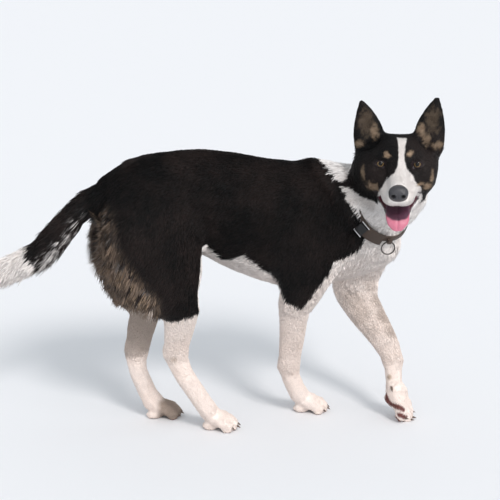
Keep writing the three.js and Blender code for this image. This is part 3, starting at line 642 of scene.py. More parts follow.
def shape_lids(points):
    """Lays the skin over each eyeball as two lids with an almond opening."""
    local = HEAD.inside(points)
    for side in (1, -1):
        way, radius, out, high, front = eye_angles(local, side)
        edge = opening(out, high)
        lid = EYE_RADIUS + LID_THICK - 0.0004 * ramp(edge, 1.0, 1.5)
        lid = lid + RIM_RISE * bell(edge, RIM_AT, RIM_HALF)
        lid = lid - FOLD_DEPTH * bell(edge, FOLD_AT, FOLD_HALF) * (high > 0)
        wanted = np.maximum(radius, lid)
        wanted = mix(wanted, radius, ramp(edge, 1.7, 2.6) * (radius > lid))
        wanted = mix(UNDER_LIDS, wanted, ramp(edge, 0.86, 1.03))
        blend = fall(radius, 0.020, 0.026) * (front > -0.2)
        local = local + way * ((wanted - radius) * blend)[:, None]
    return HEAD.outside(local)


# ---------------------------------------------------------------- mouth and nose

# The gap between the jaws, in the head's frame: length, height of its middle,
# half its height and half its width.
MOUTH_X = [-0.010, -0.006, 0.016, 0.048, 0.100]
MOUTH_Z = [-0.054, -0.055, -0.063, -0.077, -0.096]
MOUTH_HIGH = [0.0012, 0.0030, 0.0095, 0.0180, 0.0320]
MOUTH_WIDE = [0.0220, 0.0270, 0.0300, 0.0340, 0.0500]
# The outer edge of the lower lip, from the corner of the mouth to the chin.
LOWER_LIP = np.array([
    [-0.0090, 0.0435, -0.0520], [-0.0207, 0.0390, -0.0666], [-0.0150, 0.0340, -0.0745],
    [-0.0010, 0.0281, -0.0805], [0.0150, 0.0232, -0.0845], [0.0320, 0.0195, -0.0920],
    [0.0450, 0.0130, -0.0985], [0.0500, 0.0, -0.1010],
])
LIP_STEP = 0.001


def mouth_gap(local):
    """How far outside the gap between the jaws a point is, in metres."""
    x, y, z = local.T
    high = np.interp(x, MOUTH_X, MOUTH_HIGH)
    wide = np.interp(x, MOUTH_X, MOUTH_WIDE)
    place = np.hypot(y / wide, (z - np.interp(x, MOUTH_X, MOUTH_Z)) / high)
    behind = np.maximum(MOUTH_X[0] - x, 0.0)
    return (place - 1.0) * high + behind


def inside_lip(local):
    """How far inside the lower lip's edge a point is, seen from the side."""
    x, _, z = local.T
    above = z - np.interp(x, LOWER_LIP[1:, 0], LOWER_LIP[1:, 2])
    ahead = x - np.interp(z, LOWER_LIP[2::-1, 2], LOWER_LIP[2::-1, 0])
    below = np.interp(x, MOUTH_X, MOUTH_Z) + 0.002 - z
    return np.minimum(np.minimum(above, ahead), below)


def place_tree(places):
    """A tree that finds the nearest of these places."""
    tree = KDTree(len(places))
    for index, place in enumerate(places):
        tree.insert(place, index)
    tree.balance()
    return tree


def lips_on(points):
    """The edge of the lower lip on both sides, laid onto the skin in small steps."""
    spots = []
    for start, end in zip(LOWER_LIP[:-1], LOWER_LIP[1:]):
        count = int(np.linalg.norm(end - start) / LIP_STEP) + 1
        for share in np.linspace(0.0, 1.0, count, endpoint=False):
            spots.append(mix(start, end, share))
    spots = np.array(spots)
    spots = np.concatenate([spots, spots * np.array([1.0, -1.0, 1.0])])
    skin_tree = place_tree(HEAD.inside(points))
    return place_tree([skin_tree.find(spot)[0] for spot in spots])


MOUTH_BOX = np.array([[-0.03, -0.06, -0.115], [0.065, 0.06, -0.04]])
FAR_OFF = 1.0           # stands for any distance from the lip outside that box
LIP_GROOVE, LIP_GROOVE_HALF = 0.0009, 0.0012
LIP_ROLL, LIP_ROLL_AT, LIP_ROLL_HALF = 0.0006, 0.0030, 0.0014


def lip_distance(local):
    """How far each point near the mouth is from the edge of the lower lip."""
    away = np.full(len(local), FAR_OFF)
    near = np.all((local > MOUTH_BOX[0]) & (local < MOUTH_BOX[1]), axis=1)
    for index in np.flatnonzero(near):
        away[index] = LIPS.find(local[index])[2]
    return away


def shape_lips(points, normals):
    """Sinks a fine groove along the edge of the lower lip and rolls its rim."""
    away = lip_distance(HEAD.inside(points))
    sink = LIP_GROOVE * bell(away, 0.0, LIP_GROOVE_HALF)
    roll = LIP_ROLL * bell(away, LIP_ROLL_AT, LIP_ROLL_HALF)
    return points + normals * (roll - sink)[:, None]


NOSE_BED = (0.0105, 0.0165, 0.0125)         # half sizes of the skin's bed for the nose
NOSE_RIM = (0.0120, 0.0190, 0.0150)         # and of the bare rim round it
BED_DEPTH = 0.004


def from_nose(local, half):
    """Below 1 inside a ball round the nose with these half sizes."""
    return np.linalg.norm((local - HEAD.inside(middle("nose"))) / np.array(half), axis=1)


def bed_nose(points):
    """Draws the skin in behind the nose, which is a piece of its own."""
    local = HEAD.inside(points)
    local[:, 0] -= BED_DEPTH * fall(from_nose(local, NOSE_BED), 0.95, 1.12)
    return HEAD.outside(local)


# ---------------------------------------------------------------- the collar's frame

COLLAR_SHIFT = np.array([0.0035, -0.0021, 0.0016])   # from its box's middle
COLLAR_YAW, COLLAR_PITCH = math.radians(-72), math.radians(35)
STRAP_RADIUS, STRAP_FLARE = 0.057, 0.32
STRAP_WIDE, STRAP_NARROW, NARROW_ALONG = 0.025, 0.012, 0.005
STRAP_END = math.radians(-110)
STRAP_BED = 0.0012      # the skin lies this far inside the strap


def collar_axes():
    """Along the collar's axis towards the head, and two ways across it."""
    flat = math.cos(COLLAR_PITCH)
    along = np.array([math.cos(COLLAR_YAW) * flat, math.sin(COLLAR_YAW) * flat,
                      math.sin(COLLAR_PITCH)])
    side = np.array([-math.sin(COLLAR_YAW), math.cos(COLLAR_YAW), 0.0])
    return np.stack([along, side, np.cross(along, side)])


COLLAR_AXES = collar_axes()
COLLAR_MIDDLE = middle("collar_strap") + COLLAR_SHIFT


def strap_shows(local):
    """1 where the strap shows below the throat, 0 where the ruff hides it."""
    angle = np.degrees(np.arctan2(local[:, 2], local[:, 1]))
    return ramp(angle, -169, -161) * ramp(-angle, 2, 14)


def press_under_strap(points):
    """Draws the skin in under the strap wherever the strap shows."""
    local = (points - COLLAR_MIDDLE) @ COLLAR_AXES.T
    along = local[:, 0]
    radius = np.hypot(local[:, 1], local[:, 2])
    over = radius - (STRAP_RADIUS - STRAP_FLARE * along - STRAP_BED)
    near = fall(np.abs(along), 0.015, 0.026) * fall(over, 0.014, 0.022)
    pull = near * np.maximum(over, 0.0) * strap_shows(local)
    inward = -(local * np.array([0.0, 1.0, 1.0])) / np.maximum(radius, 1e-6)[:, None]
    return points + (inward * pull[:, None]) @ COLLAR_AXES


# ---------------------------------------------------------------- the lie of the coat

# Which way the hair points on the plainer parts: along, to the left and up.
PLAIN_LIE = (
    (["neck", "collar_strap"], (-0.75, 0.25, -0.75)),
    (both("shoulder"), (-0.45, 0.0, -0.9)),
    (both("forearm"), (-0.12, 0.0, -1.0)),
    (both("fore_foot"), (0.6, -0.15, -0.8)),
    (both("thigh"), (-0.50, 0.0, -0.85)),
    (both("shank"), (-0.10, 0.0, -1.0)),
    (both("hind_foot"), (0.6, -0.1, -0.8)),
)
LIE_BLEND = 34          # how far the lie of the coat blends, in steps of the grid


def guide_vectors(points, part):
    """Which way the hair points at each point, before it is smoothed."""
    x, y, _ = points.T
    zero = np.zeros(len(points))
    guide = np.zeros_like(points)

    def lay(names, *way):
        chosen = belongs(part, *names)
        guide[chosen] = unit(np.stack([zero + w for w in way], 1))[chosen]

    for names, way in PLAIN_LIE:
        lay(names, *way)
    side = np.sign(y - MID_PLANE)
    flank = ramp(np.abs(y - MID_PLANE), 0.01, 0.07)
    chest = ramp(x, 0.20, 0.30)
    lay(["trunk"], -1.0 + 0.5 * chest, 0.06 * side, -0.10 - 0.40 * flank - 0.9 * chest)
    _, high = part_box("tail")
    lay(["tail"], -0.87, -0.02, -0.48 - 0.15 * ramp(high.x - x, 0.0, 0.1))

    lx, ly, lz = HEAD.inside(points).T
    spread = ly / 0.05 * ramp(-lx, -0.05, 0.02)
    slope = 0.5 * ramp(lz, -0.02, 0.03) - 0.8 * ramp(-lz, 0.02, 0.06)
    for names, way in (
        (UPPER_FACE, (-1.0 + zero, spread, slope)),
        (["jaw"], (-1.0 + zero, 0.3 * np.sign(ly), -0.5 + zero)),
        (EARS, (-0.15 + zero, 0.20 * np.sign(ly), 1.0 + zero)),
    ):
        lay(names, *(np.stack(way, 1) @ HEAD.axes).T)
    return guide


def lie_of_coat(points, part, normals, net):
    """Which way the hair lies along the skin at each point."""
    guide = net.smooth(guide_vectors(points, part), LIE_BLEND)
    flat = guide - normals * dot(guide, normals)[:, None]
    return unit(net.smooth(unit(flat), 4))


# ---------------------------------------------------------------- building the skin

skin, SOLIDS, OWNER = voxel_skin()
keep_largest(skin.data)
refine_face(skin.data)
skin_points = points_of(skin.data)
skin_faces = triangles_of(skin.data)
skin_net = Net(skin.data)
skin_part = owners_of(skin_points, SOLIDS, OWNER)
skin_points = smooth_skin(skin_points, skin_part, skin_net)
skin_sizes = coat_sizes(skin_points, skin_part, skin_net)
skin_points = shrink(skin_points, skin_faces, skin_sizes[:, 0], skin_net)
skin_points = press_under_strap(skin_points)
LIPS = lips_on(skin_points)
skin_points = shape_lips(skin_points, point_normals(skin_points, skin_faces))
skin_points = shape_lids(skin_points)
skin_points = bed_nose(skin_points)
skin_points[:, 2] = np.maximum(skin_points[:, 2], 0.0)
set_points(skin.data, skin_points)
skin_normals = point_normals(skin_points, skin_faces)
skin_lie = lie_of_coat(skin_points, skin_part, skin_normals, skin_net)


# ---------------------------------------------------------------- materials

def colour(red, green, blue):
    """A colour from screen values of 0 to 255."""
    def line(value):
        value /= 255.0
        return value / 12.92 if value <= 0.04045 else ((value + 0.055) / 1.055) ** 2.4
    return (line(red), line(green), line(blue), 1.0)


class Paint:
    """A material and short ways to add nodes to it."""

    def __init__(self, name, roughness, gloss):
        self.material = bpy.data.materials.new(name)
        self.material.use_nodes = True
        self.nodes = self.material.node_tree.nodes
        self.links = self.material.node_tree.links
        self.shader = self.nodes["Principled BSDF"]
        self.set("Roughness", roughness)
        self.set("Specular IOR Level", gloss)

    def set(self, socket, value):
        self.shader.inputs[socket].default_value = value

    def link(self, value, socket):
        self.links.new(value, self.shader.inputs[socket])

    def add(self, kind, output, inputs, **settings):
        """Adds a node, sets or links its inputs, and gives one of its outputs."""
        made = self.nodes.new("ShaderNode" + kind)
        for name, value in settings.items():
            setattr(made, name, value)
        for socket, value in inputs.items():
            if hasattr(value, "is_output"):
                self.links.new(value, made.inputs[socket])
            else:
                made.inputs[socket].default_value = value
        return made.outputs[output]

    def channels(self, name):
        """Red, green and blue of a colour that the mesh carries."""
        held = self.add("VertexColor", "Color", {}, layer_name=name)
        parts = self.add("SeparateColor", 0, {"Color": held}).node.outputs
        return parts[0], parts[1], parts[2]

    def noise(self, scale, detail=3.0):
        place = self.add("TexCoord", "Object", {})
        return self.add("TexNoise", "Fac", {"Scale": scale, "Detail": detail, "Vector": place})

    def cells(self, scale):
        place = self.add("TexCoord", "Object", {})
        return self.add("TexVoronoi", "Distance", {"Scale": scale, "Vector": place})

    def mix(self, share, a, b):
        return self.add("Mix", 2, {0: share, 6: a, 7: b}, data_type="RGBA")

    def math(self, operation, a, b):
        return self.add("Math", 0, {0: a, 1: b}, operation=operation)

    def spread(self, value, low, high, out_low=0.0, out_high=1.0):
        """Turns low to high into out_low to out_high."""
        return self.add("MapRange", "Result", {
            "Value": value, "From Min": low, "From Max": high,
            "To Min": out_low, "To Max": out_high})

    def scale(self, tone, amount):
        return self.add("VectorMath", 0, {0: tone, "Scale": amount}, operation="SCALE")

    def steps(self, value, stops):
        """A colour that follows a value through stops of place and colour."""
        followed = self.add("ValToRGB", "Color", {"Fac": value})
        held = followed.node.color_ramp.elements
        while len(held) < len(stops):
            held.new(0.5)
        for element, (place, tone) in zip(held, stops):
            element.position = place
            element.color = tone
        return followed

    def bump(self, height, strength, distance):
        self.link(self.add("Bump", "Normal", {
            "Strength": strength, "Distance": distance, "Height": height}), "Normal")


BLACK_DEEP = colour(4, 4, 5)
# a brown for sun-bleached hair, also used as painted sheen on the black coat
BLACK_BROWN_SHEEN = colour(58, 46, 43)
WHITE_CLEAN = colour(253, 251, 250)
WHITE_WARM = colour(252, 237, 228)
TAN_LIGHT = colour(196, 172, 146)
TAN_DARK = colour(122, 98, 76)
# also the tone of painted shade on the far legs and the face
GREY_BROWN = colour(140, 120, 104)
# painted shade inside the nostrils
NOSTRIL_PAINTED_SHADE = colour(6, 5, 6)
FLOOR_WHITE = colour(240, 241, 244)
# Pairs of tones, each mixed by a pattern of noise or cells.
MOUTH_PINKS = colour(84, 32, 44), colour(50, 18, 28)
LEATHER_DARKS = colour(26, 20, 22), colour(48, 38, 40)
SOLE_BROWNS = colour(122, 70, 64), colour(66, 44, 42)
NOSE_GREYS = colour(40, 40, 43), colour(72, 71, 75)
TONGUE_PINKS = colour(190, 104, 126), colour(210, 128, 148)
# painted shade on the tongue's part inside the mouth
TONGUE_PAINTED_SHADES = colour(66, 38, 52), colour(92, 56, 74)
STRAP_BROWNS = colour(44, 35, 31), colour(84, 70, 60)
METAL_GREYS = colour(58, 54, 52), colour(112, 106, 102)
POLISHED_GREYS = colour(170, 170, 172), colour(225, 225, 226)
PLASTIC_BLACKS = colour(14, 14, 15), colour(34, 34, 36)
HORN_BROWNS = colour(70, 56, 50), colour(122, 104, 92)
# The eye's colour, by how far round from its front a place is, in quarter turns.
IRIS_STOPS = [
    (0.0, colour(4, 3, 4)), (0.195, colour(5, 4, 4)), (0.220, colour(66, 52, 36)),
    (0.29, colour(134, 112, 78)), (0.36, colour(88, 66, 44)),
    (0.41, colour(28, 19, 15)), (0.50, colour(80, 68, 62)), (0.75, colour(110, 88, 82)),
]


def coat_tone(paint):
    """The coat's colour from the marks and locks that the mesh carries."""
    white_share, tan_share, grey_and_shade_share = paint.channels("Marks")
    chance, along, warm = paint.channels("Lock")
    # brown patches are the coat's own; lighter tips are partly sun-bleached hair, partly
    # painted sheen
    broad = paint.spread(paint.noise(11.0), 0.42, 0.70, 0.0, 0.42)
    sheen_tips = paint.spread(paint.math("MULTIPLY", chance, along), 0.25, 0.95, 0.0, 0.80)
    black = paint.mix(paint.math("ADD", broad, sheen_tips), BLACK_DEEP, BLACK_BROWN_SHEEN)
    white = paint.mix(warm, WHITE_CLEAN, WHITE_WARM)
    white = paint.scale(white, paint.spread(chance, 0.0, 1.0, 0.90, 1.03))
    tan = paint.mix(chance, TAN_DARK, TAN_LIGHT)
    tone = paint.mix(white_share, black, white)
    tone = paint.mix(tan_share, tone, tan)
    return paint.mix(grey_and_shade_share, tone, GREY_BROWN)


def coat_material():
    paint = Paint("coat", 0.50, 0.12)
    fine = paint.noise(380.0, 2.0)
    tone = paint.scale(coat_tone(paint), paint.spread(fine, 0.3, 0.7, 0.92, 1.06))
    paint.link(tone, "Base Color")
    paint.set("Sheen Weight", 0.03)
    return paint.material


def skin_material():
    """Short hair over skin, with bare leather on lids, lips and pads."""
    paint = Paint("short_coat", 0.6, 0.20)
    lining, leather, pad = paint.channels("Bare")
    fine = paint.noise(420.0, 2.0)
    tone = paint.scale(coat_tone(paint), paint.spread(fine, 0.3, 0.7, 0.88, 1.06))
    patchy = paint.noise(160.0)
    pink = paint.mix(patchy, *MOUTH_PINKS)
    tone = paint.mix(lining, tone, pink)
    dark = paint.mix(patchy, *LEATHER_DARKS)
    tone = paint.mix(leather, tone, dark)
    sole = paint.mix(patchy, *SOLE_BROWNS)
    tone = paint.mix(pad, tone, sole)
    paint.link(tone, "Base Color")
    wet = paint.math("ADD", lining, leather)
    paint.link(paint.spread(wet, 0.0, 1.0, 0.62, 0.34), "Roughness")
    paint.bump(fine, 0.25, 0.0005)
    return paint.material


def plain_material(name, tones, roughness, gloss, scale, bump):
    """Two tones in fine noise, with a matching bump."""
    paint = Paint(name, roughness, gloss)
    grain = paint.noise(scale)
    paint.link(paint.mix(grain, *tones), "Base Color")
    worn = paint.noise(scale * 0.2)
    paint.link(paint.spread(worn, 0.3, 0.7, roughness * 0.85, roughness * 1.15),
               "Roughness")
    paint.bump(grain, 0.4, bump)
    return paint


SKIN_MATERIAL = skin_material()
COAT_MATERIAL = coat_material()


# ---------------------------------------------------------------- painting the skin

PAD_HEIGHT, SOLE_HEIGHT = 0.0065, 0.0024    # bare up to here on a raised foot, and others
FEET = {                # origin of each foot, its heading and its tilt in degrees
    "fore_foot_left": ((0.3817, -0.0110, 0.0185), -38, 42),
    "fore_foot_right": ((0.2297, 0.0670, 0.0), -12, 0),
    "hind_foot_left": ((-0.0603, 0.1070, 0.0), 0, 0),
    "hind_foot_right": ((0.0337, 0.0170, 0.0), -17, 0),
}
# Soft round spots, each a place, a radius and a strength. First small brown freckles
# on the legs, with the tan patch at the back of the thigh.
FRECKLES = [
    ((0.369, -0.014, 0.087), 0.0075, 0.75), ((-0.058, -0.012, 0.157), 0.010, 0.40),
    ((0.199, 0.006, 0.190), 0.005, 0.30), ((0.215, 0.020, 0.080), 0.004, 0.35),
    ((-0.085, 0.092, 0.110), 0.004, 0.30), ((-0.100, 0.090, 0.150), 0.006, 0.30),
    ((0.010, -0.005, 0.060), 0.003, 0.30), ((0.300, 0.040, 0.200), 0.004, 0.25),
    ((-0.143, -0.025, 0.302), 0.014, 0.60), ((-0.137, -0.024, 0.288), 0.014, 0.60),
    ((-0.142, -0.006, 0.277), 0.012, 0.60),
]
# The pads that show at the raised foot's edge.
PAD_SPOTS = [
    ((0.364, -0.012, 0.049), 0.0090, 1.0), ((0.365, -0.014, 0.043), 0.0095, 1.0),
    ((0.367, -0.018, 0.038), 0.0090, 1.0), ((0.371, -0.023, 0.034), 0.0085, 1.0),
    ((0.374, -0.030, 0.034), 0.0085, 1.0), ((0.376, -0.037, 0.034), 0.0085, 1.0),
    ((0.379, -0.042, 0.034), 0.0085, 1.0), ((0.384, -0.046, 0.032), 0.0080, 1.0),
    ((0.389, -0.047, 0.029), 0.0070, 1.0), ((0.380, -0.046, 0.019), 0.0080, 1.0),
    ((0.384, -0.048, 0.018), 0.0075, 1.0), ((0.389, -0.048, 0.015), 0.0075, 1.0),
    ((0.395, -0.045, 0.012), 0.0070, 1.0),
]
# Soft grey-brown places; those on the far foreleg are partly hair and partly painted shade.
GREY_AND_SHADE_SPOTS = [
    ((0.376, 0.075, 0.218), 0.026, 0.40), ((0.381, 0.052, 0.194), 0.026, 0.45),
    ((0.388, 0.027, 0.169), 0.022, 0.40), ((0.364, 0.085, 0.247), 0.022, 0.25),
    ((0.318, 0.074, 0.224), 0.034, 0.32), ((0.330, 0.060, 0.198), 0.032, 0.30),
    ((0.342, 0.040, 0.166), 0.026, 0.20), ((0.3414, -0.1190, 0.5090), 0.007, 0.22),
    ((0.3372, -0.1315, 0.5075), 0.005, 0.22),
]
# The cream strip under the root of the tail.
CREAM_SPOTS = [
    ((-0.178, 0.010, 0.441), 0.011, 0.85), ((-0.176, 0.002, 0.432), 0.011, 0.85),
    ((-0.174, -0.008, 0.419), 0.010, 0.85), ((-0.171, -0.014, 0.405), 0.009, 0.85),
]
SPOT_CORE = 0.4         # the share of a spot's radius that has its full strength


def spots(points, places):
    """The strongest of some soft round spots at each point."""
    share = np.zeros(len(points))
    for place, radius, strength in places:
        away = np.linalg.norm(points - np.array(place), axis=1)
        share = np.maximum(share, strength * fall(away, SPOT_CORE * radius, radius))
    return share


def foot_height(points, name):
    """Height over the foot's own sole, for a foot that may be tipped up."""
    origin, heading, tilt = FEET[name]
    turn, tip = math.radians(heading), math.radians(tilt)
    up = np.array([math.cos(turn) * math.sin(tip), math.sin(turn) * math.sin(tip),
                   math.cos(tip)])
    return (points - np.array(origin)) @ up


def pads(points, part):
    """1 on the soles, and on the pads at the raised foot's edge."""
    share = spots(points, PAD_SPOTS)
    rough = 0.0012 * noise(points, 0.006, 21)
    for name, (_, _, tilt) in FEET.items():
        top = PAD_HEIGHT if tilt else SOLE_HEIGHT
        sole = fall(foot_height(points, name) + rough, 0.6 * top, top)
        share = np.maximum(share, sole * belongs(part, name))
    return share


def bare_places(points, part):
    """Shares of mouth lining, dark leather and pads at each point."""
    local = HEAD.inside(points)
    on_face = belongs(part, "jaw", *UPPER_FACE)
    gap = mouth_gap(local)
    inside = on_face * ramp(local[:, 0], -0.018, -0.010)
    lining = fall(gap, 0.0008, 0.0022) * inside
    lining = np.maximum(lining, on_face * ramp(inside_lip(local), -0.0004, 0.0012))
    side_lips = fall(local[:, 0], 0.040, 0.060)
    leather = fall(gap, 0.0028, 0.0042) * inside * side_lips * (1 - lining)
    leather = np.maximum(leather, fall(lip_distance(local), 0.0012, 0.0024) * on_face)
    lining = lining * (1 - 0.8 * leather)
    for side in (1, -1):
        _, radius, out, high, front = eye_angles(local, side)
        rim = fall(opening(out, high), 1.22, 1.40) * (front > 0) * (radius < 0.02)
        leather = np.maximum(leather, rim)
    around = fall(from_nose(local, NOSE_RIM), 1.0, 1.10)
    return lining, np.maximum(leather, 0.9 * around), pads(points, part)


HEAD_PAINTED_SHADE = 0.20       # painted shade: how far the blaze and the muzzle are dulled
TAIL_AXIS_X = [-0.366, -0.322, -0.284, -0.250, -0.218, -0.178]
TAIL_AXIS_Z = [0.328, 0.346, 0.366, 0.404, 0.436, 0.468]


def cream_share(points, part):
    """Streaks of cream in the long hair of the thighs and under the tail."""
    x, _, z = points.T
    streak = noise(points, 0.0035, 15) + 0.4 * noise(points, 0.011, 16)
    cream = 0.12 * haunch(points, part) * ramp(streak, -0.10, 0.55)
    under = np.interp(x, TAIL_AXIS_X, TAIL_AXIS_Z) + 0.008 - z
    tail = ramp(under, 0.0, 0.014) * ramp(-x, 0.200, 0.230) * belongs(part, "tail")
    cream = np.maximum(cream, 0.75 * tail * ramp(streak, 0.05, 0.45))
    return np.maximum(cream, spots(points, CREAM_SPOTS))


def grey_and_shade_share(points, part):
    """Grey-brown hair on the thighs' backs; on the far shank, far toes and soft spots partly
    painted shade.
    """
    x, _, z = points.T
    # partly painted shade: the far shank and the far toes are greyed, partly their own hair
    shank = belongs(part, "shank_left") * mix(0.12, 0.55, ramp(z, 0.06, 0.19))
    toes = belongs(part, "hind_foot_left") * ramp(x, -0.078, -0.064)
    low = belongs(part, *both("thigh")) * fall(z, 0.262, 0.290)
    return np.max([
        shank,
        0.80 * toes * fall(z, 0.034, 0.045),
        0.80 * haunch(points, part) * ramp(noise(points, 0.006, 8), -0.5, 0.5),
        0.9 * low * ramp(-x, 0.086, 0.104),
        spots(points, GREY_AND_SHADE_SPOTS),
    ], axis=0)


def haunch_tan(points, part):
    """Warm brown locks among the grey on the backs of the thighs."""
    low = mix(0.25, 0.80, fall(points[:, 2], 0.29, 0.40))
    return haunch(points, part) * low * ramp(noise(points, 0.004, 23), -0.05, 0.70)


def warmth(points):
    """How creamy the white hair is: most on the legs and the belly."""
    low = fall(points[:, 2], 0.14, 0.46)
    return np.clip(0.75 * low + 0.10 * noise(points, 0.03, 6) + 0.2, 0.0, 1.0)


def marks_at(points, part):
    """Shares of white, tan and grey at each point."""
    white, tan = markings(points, part)
    cream = cream_share(points, part)
    tan = np.max([tan, spots(points, FRECKLES), haunch_tan(points, part)], axis=0)
    # painted shade: the white of the blaze and the muzzle is dulled towards grey-brown
    face = HEAD_PAINTED_SHADE * white * belongs(part, *UPPER_FACE)
    grey = np.maximum(grey_and_shade_share(points, part) * (1.0 - cream), face)
    return np.stack([np.maximum(white, cream), tan, grey], 1)


def finish_skin():
    add_colour(skin.data, "Marks", marks_at(skin_points, skin_part))
    chance = noise01(skin_points, 0.005, 9)
    held = np.stack([chance, np.full(len(chance), 0.3), warmth(skin_points)], 1)
    add_colour(skin.data, "Lock", held)
    add_colour(skin.data, "Bare", np.stack(bare_places(skin_points, skin_part), 1))
    skin.data.materials.clear()
    skin.data.materials.append(SKIN_MATERIAL)
    shade_smooth(skin.data)
    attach(skin, "root")
    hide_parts(*PARTS)


finish_skin()


# ---------------------------------------------------------------- locks of hair

SHORT_LOCK = {
    "rings": ((0.45, 1.0),),
    "faces": [(0, 2, 1), (0, 3, 2), (0, 1, 3), (4, 1, 2), (4, 2, 3), (4, 3, 1)],
}
LONG_LOCK = {
    "rings": ((0.25, 0.75), (0.62, 1.0)),
    "faces": [(0, 2, 1), (0, 3, 2), (0, 1, 3),
              (1, 2, 5), (1, 5, 4), (2, 3, 6), (2, 6, 5), (3, 1, 4), (3, 4, 6),
              (7, 4, 5), (7, 5, 6), (7, 6, 4)],
}
ROOT_DEPTH = 0.0008      # each lock's root lies this far under the skin
LOCK_THICK = 0.22       # half a lock's thickness, as a share of its width
LOCK_SAG = -0.10        # how far its tip sinks, as a share of its length
# Random shares of the coat's length, height and width that the locks take.
LENGTHS, HEIGHTS, WIDTHS = (0.65, 1.1), (0.35, 0.92), (0.75, 1.25)
SHORTEST = 0.12         # a lock of which less than this share fits is left out
PATCH = 0.003           # how wide each lock's patch is on the coat's map
FLAT_ISLAND = math.radians(66)

# Each piece of the coat: the parts it covers, its locks, the gap between their roots,
# which side it is on, and how far the locks stray from the coat's lie.
COAT_PIECES = {
    "coat_face": (["jaw"] + UPPER_FACE, SHORT_LOCK, 0.00145, 0, 0.10),
    "coat_ears": (EARS, SHORT_LOCK, 0.0015, 0, 0.10),
    "coat_neck": (["neck", "collar_strap"], LONG_LOCK, 0.0021, 0, 0.14),
    "coat_trunk_right": (["trunk"], SHORT_LOCK, 0.0020, -1, 0.08),
    "coat_trunk_left": (["trunk"], SHORT_LOCK, 0.0020, 1, 0.08),
    "coat_shoulders": (both("shoulder"), SHORT_LOCK, 0.0018, 0, 0.08),
    "coat_thigh_right": (["thigh_right"], LONG_LOCK, 0.0021, 0, 0.10),
    "coat_thigh_left": (["thigh_left"], LONG_LOCK, 0.0021, 0, 0.10),
    "coat_forelegs": (both("forearm", "fore_foot"), SHORT_LOCK, 0.0017, 0, 0.08),
    "coat_hindlegs": (both("shank", "hind_foot"), SHORT_LOCK, 0.0017, 0, 0.08),
    "coat_tail": (["tail"], LONG_LOCK, 0.0021, 0, 0.16),
}


def lock_points(kind, root, normal, lie, length, width, height):
    """The points of many locks at once: root, rings and tip of each."""
    across = np.cross(normal, lie)
    sag = np.array([0.0, 0.0, LOCK_SAG])

    def spine(t):
        rise = height * (t * (2.0 - t) - 0.25 * t ** 3)
        return (root + lie * (length * t)[:, None] + normal * rise[:, None]
                + sag * (length * t * t)[:, None])

    rows = [root - normal * ROOT_DEPTH]
    for t, full in kind["rings"]:
        centre = spine(np.full(len(root), t))
        for corner in range(3):
            angle = math.radians(90 + 120 * corner)
            rows.append(centre
                        + across * (0.5 * full * width * math.cos(angle))[:, None]
                        + normal * (LOCK_THICK * full * width * math.sin(angle))[:, None])
    rows.append(spine(np.ones(len(root))))
    return np.stack(rows, 1)


def sample_roots(chosen, gap):
    """Random places on the skin's faces, one for each gap squared of area."""
    a, b, c = (skin_points[skin_faces[chosen, k]] for k in range(3))
    area = 0.5 * np.linalg.norm(np.cross(b - a, c - a), axis=1)
    count = np.floor(area / gap ** 2 + DICE.random(len(area))).astype(int)
    row = np.repeat(np.arange(len(chosen)), count)
    u, v = DICE.random(len(row)), DICE.random(len(row))
    flip = u + v > 1
    u, v = np.where(flip, 1 - u, u), np.where(flip, 1 - v, v)
    return row, np.stack([1 - u - v, u, v], 1)


def blended(values, face, share):
    """The skin's values at places given by a face and the shares of its corners."""
    corner = skin_faces[face]
    return sum(values[corner[:, k]] * share[:, k][:, None] for k in range(3))


def unwrapped(chosen):
    """A flat map of the skin's chosen faces: three places for each face."""
    mesh = mesh_from("flat", skin_points, skin_faces[chosen])
    mesh.uv_layers.new(name="flat")
    flat = add_object("flat", mesh)
    bpy.ops.object.select_all(action="DESELECT")
    bpy.context.view_layer.objects.active = flat
    flat.select_set(True)
    bpy.ops.object.mode_set(mode="EDIT")
    bpy.ops.mesh.select_all(action="SELECT")
    bpy.ops.uv.smart_project(angle_limit=FLAT_ISLAND, island_margin=0.004)
    bpy.ops.object.mode_set(mode="OBJECT")
    places = np.empty(len(mesh.loops) * 2, np.float32)
    mesh.uv_layers[0].data.foreach_get("uv", places)
    bpy.data.objects.remove(flat)
    return places.reshape(-1, 3, 2)


BARE_SOLE = 0.003       # no hair grows below this height
AROUND_EYE = 0.022


def bare_share(points, part):
    """1 where no hair grows: soles, eyes, nose, lips and the inside of the mouth."""
    bare = np.max(bare_places(points, part), axis=0)
    local = HEAD.inside(points)
    for side in (1, -1):
        _, radius, out, high, front = eye_angles(local, side)
        in_eye = (radius < AROUND_EYE) & (opening(out, high) < 1.25) & (front > 0)
        bare = np.maximum(bare, in_eye)
    return np.maximum(bare, points[:, 2] < BARE_SOLE)


OBSTACLES = ["collar_strap", "collar_buckle", "collar_bar_front", "collar_bar_back",
             "collar_keeper", "collar_ring", "tongue", "nose"]
CLEAR_ABOVE = 0.014     # no lock grows where one of these lies this close above its root
NEARBY = 0.04           # locks further off than this are not looked at
STOP_SHORT = 0.0015     # a lock ends this far before what it would meet


def obstacle_tree():
    """The faces of what the locks must not run through."""
    meshes = [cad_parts[name].data for name in OBSTACLES]
    return tree_of(*gathered([(points_of(mesh), triangles_of(mesh)) for mesh in meshes]))


OBSTACLE_TREE = obstacle_tree()


def near_obstacles(points):
    """True near the collar where it shows, the tongue and the nose."""
    near = np.zeros(len(points), bool)
    for name in OBSTACLES:
        low, high = (np.array(corner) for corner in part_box(name))
        near |= np.all((points > low - NEARBY) & (points < high + NEARBY), axis=1)
    local = (points - COLLAR_MIDDLE) @ COLLAR_AXES.T
    return near & ((np.abs(local[:, 0]) > NEARBY) | (strap_shows(local) > 0.3))


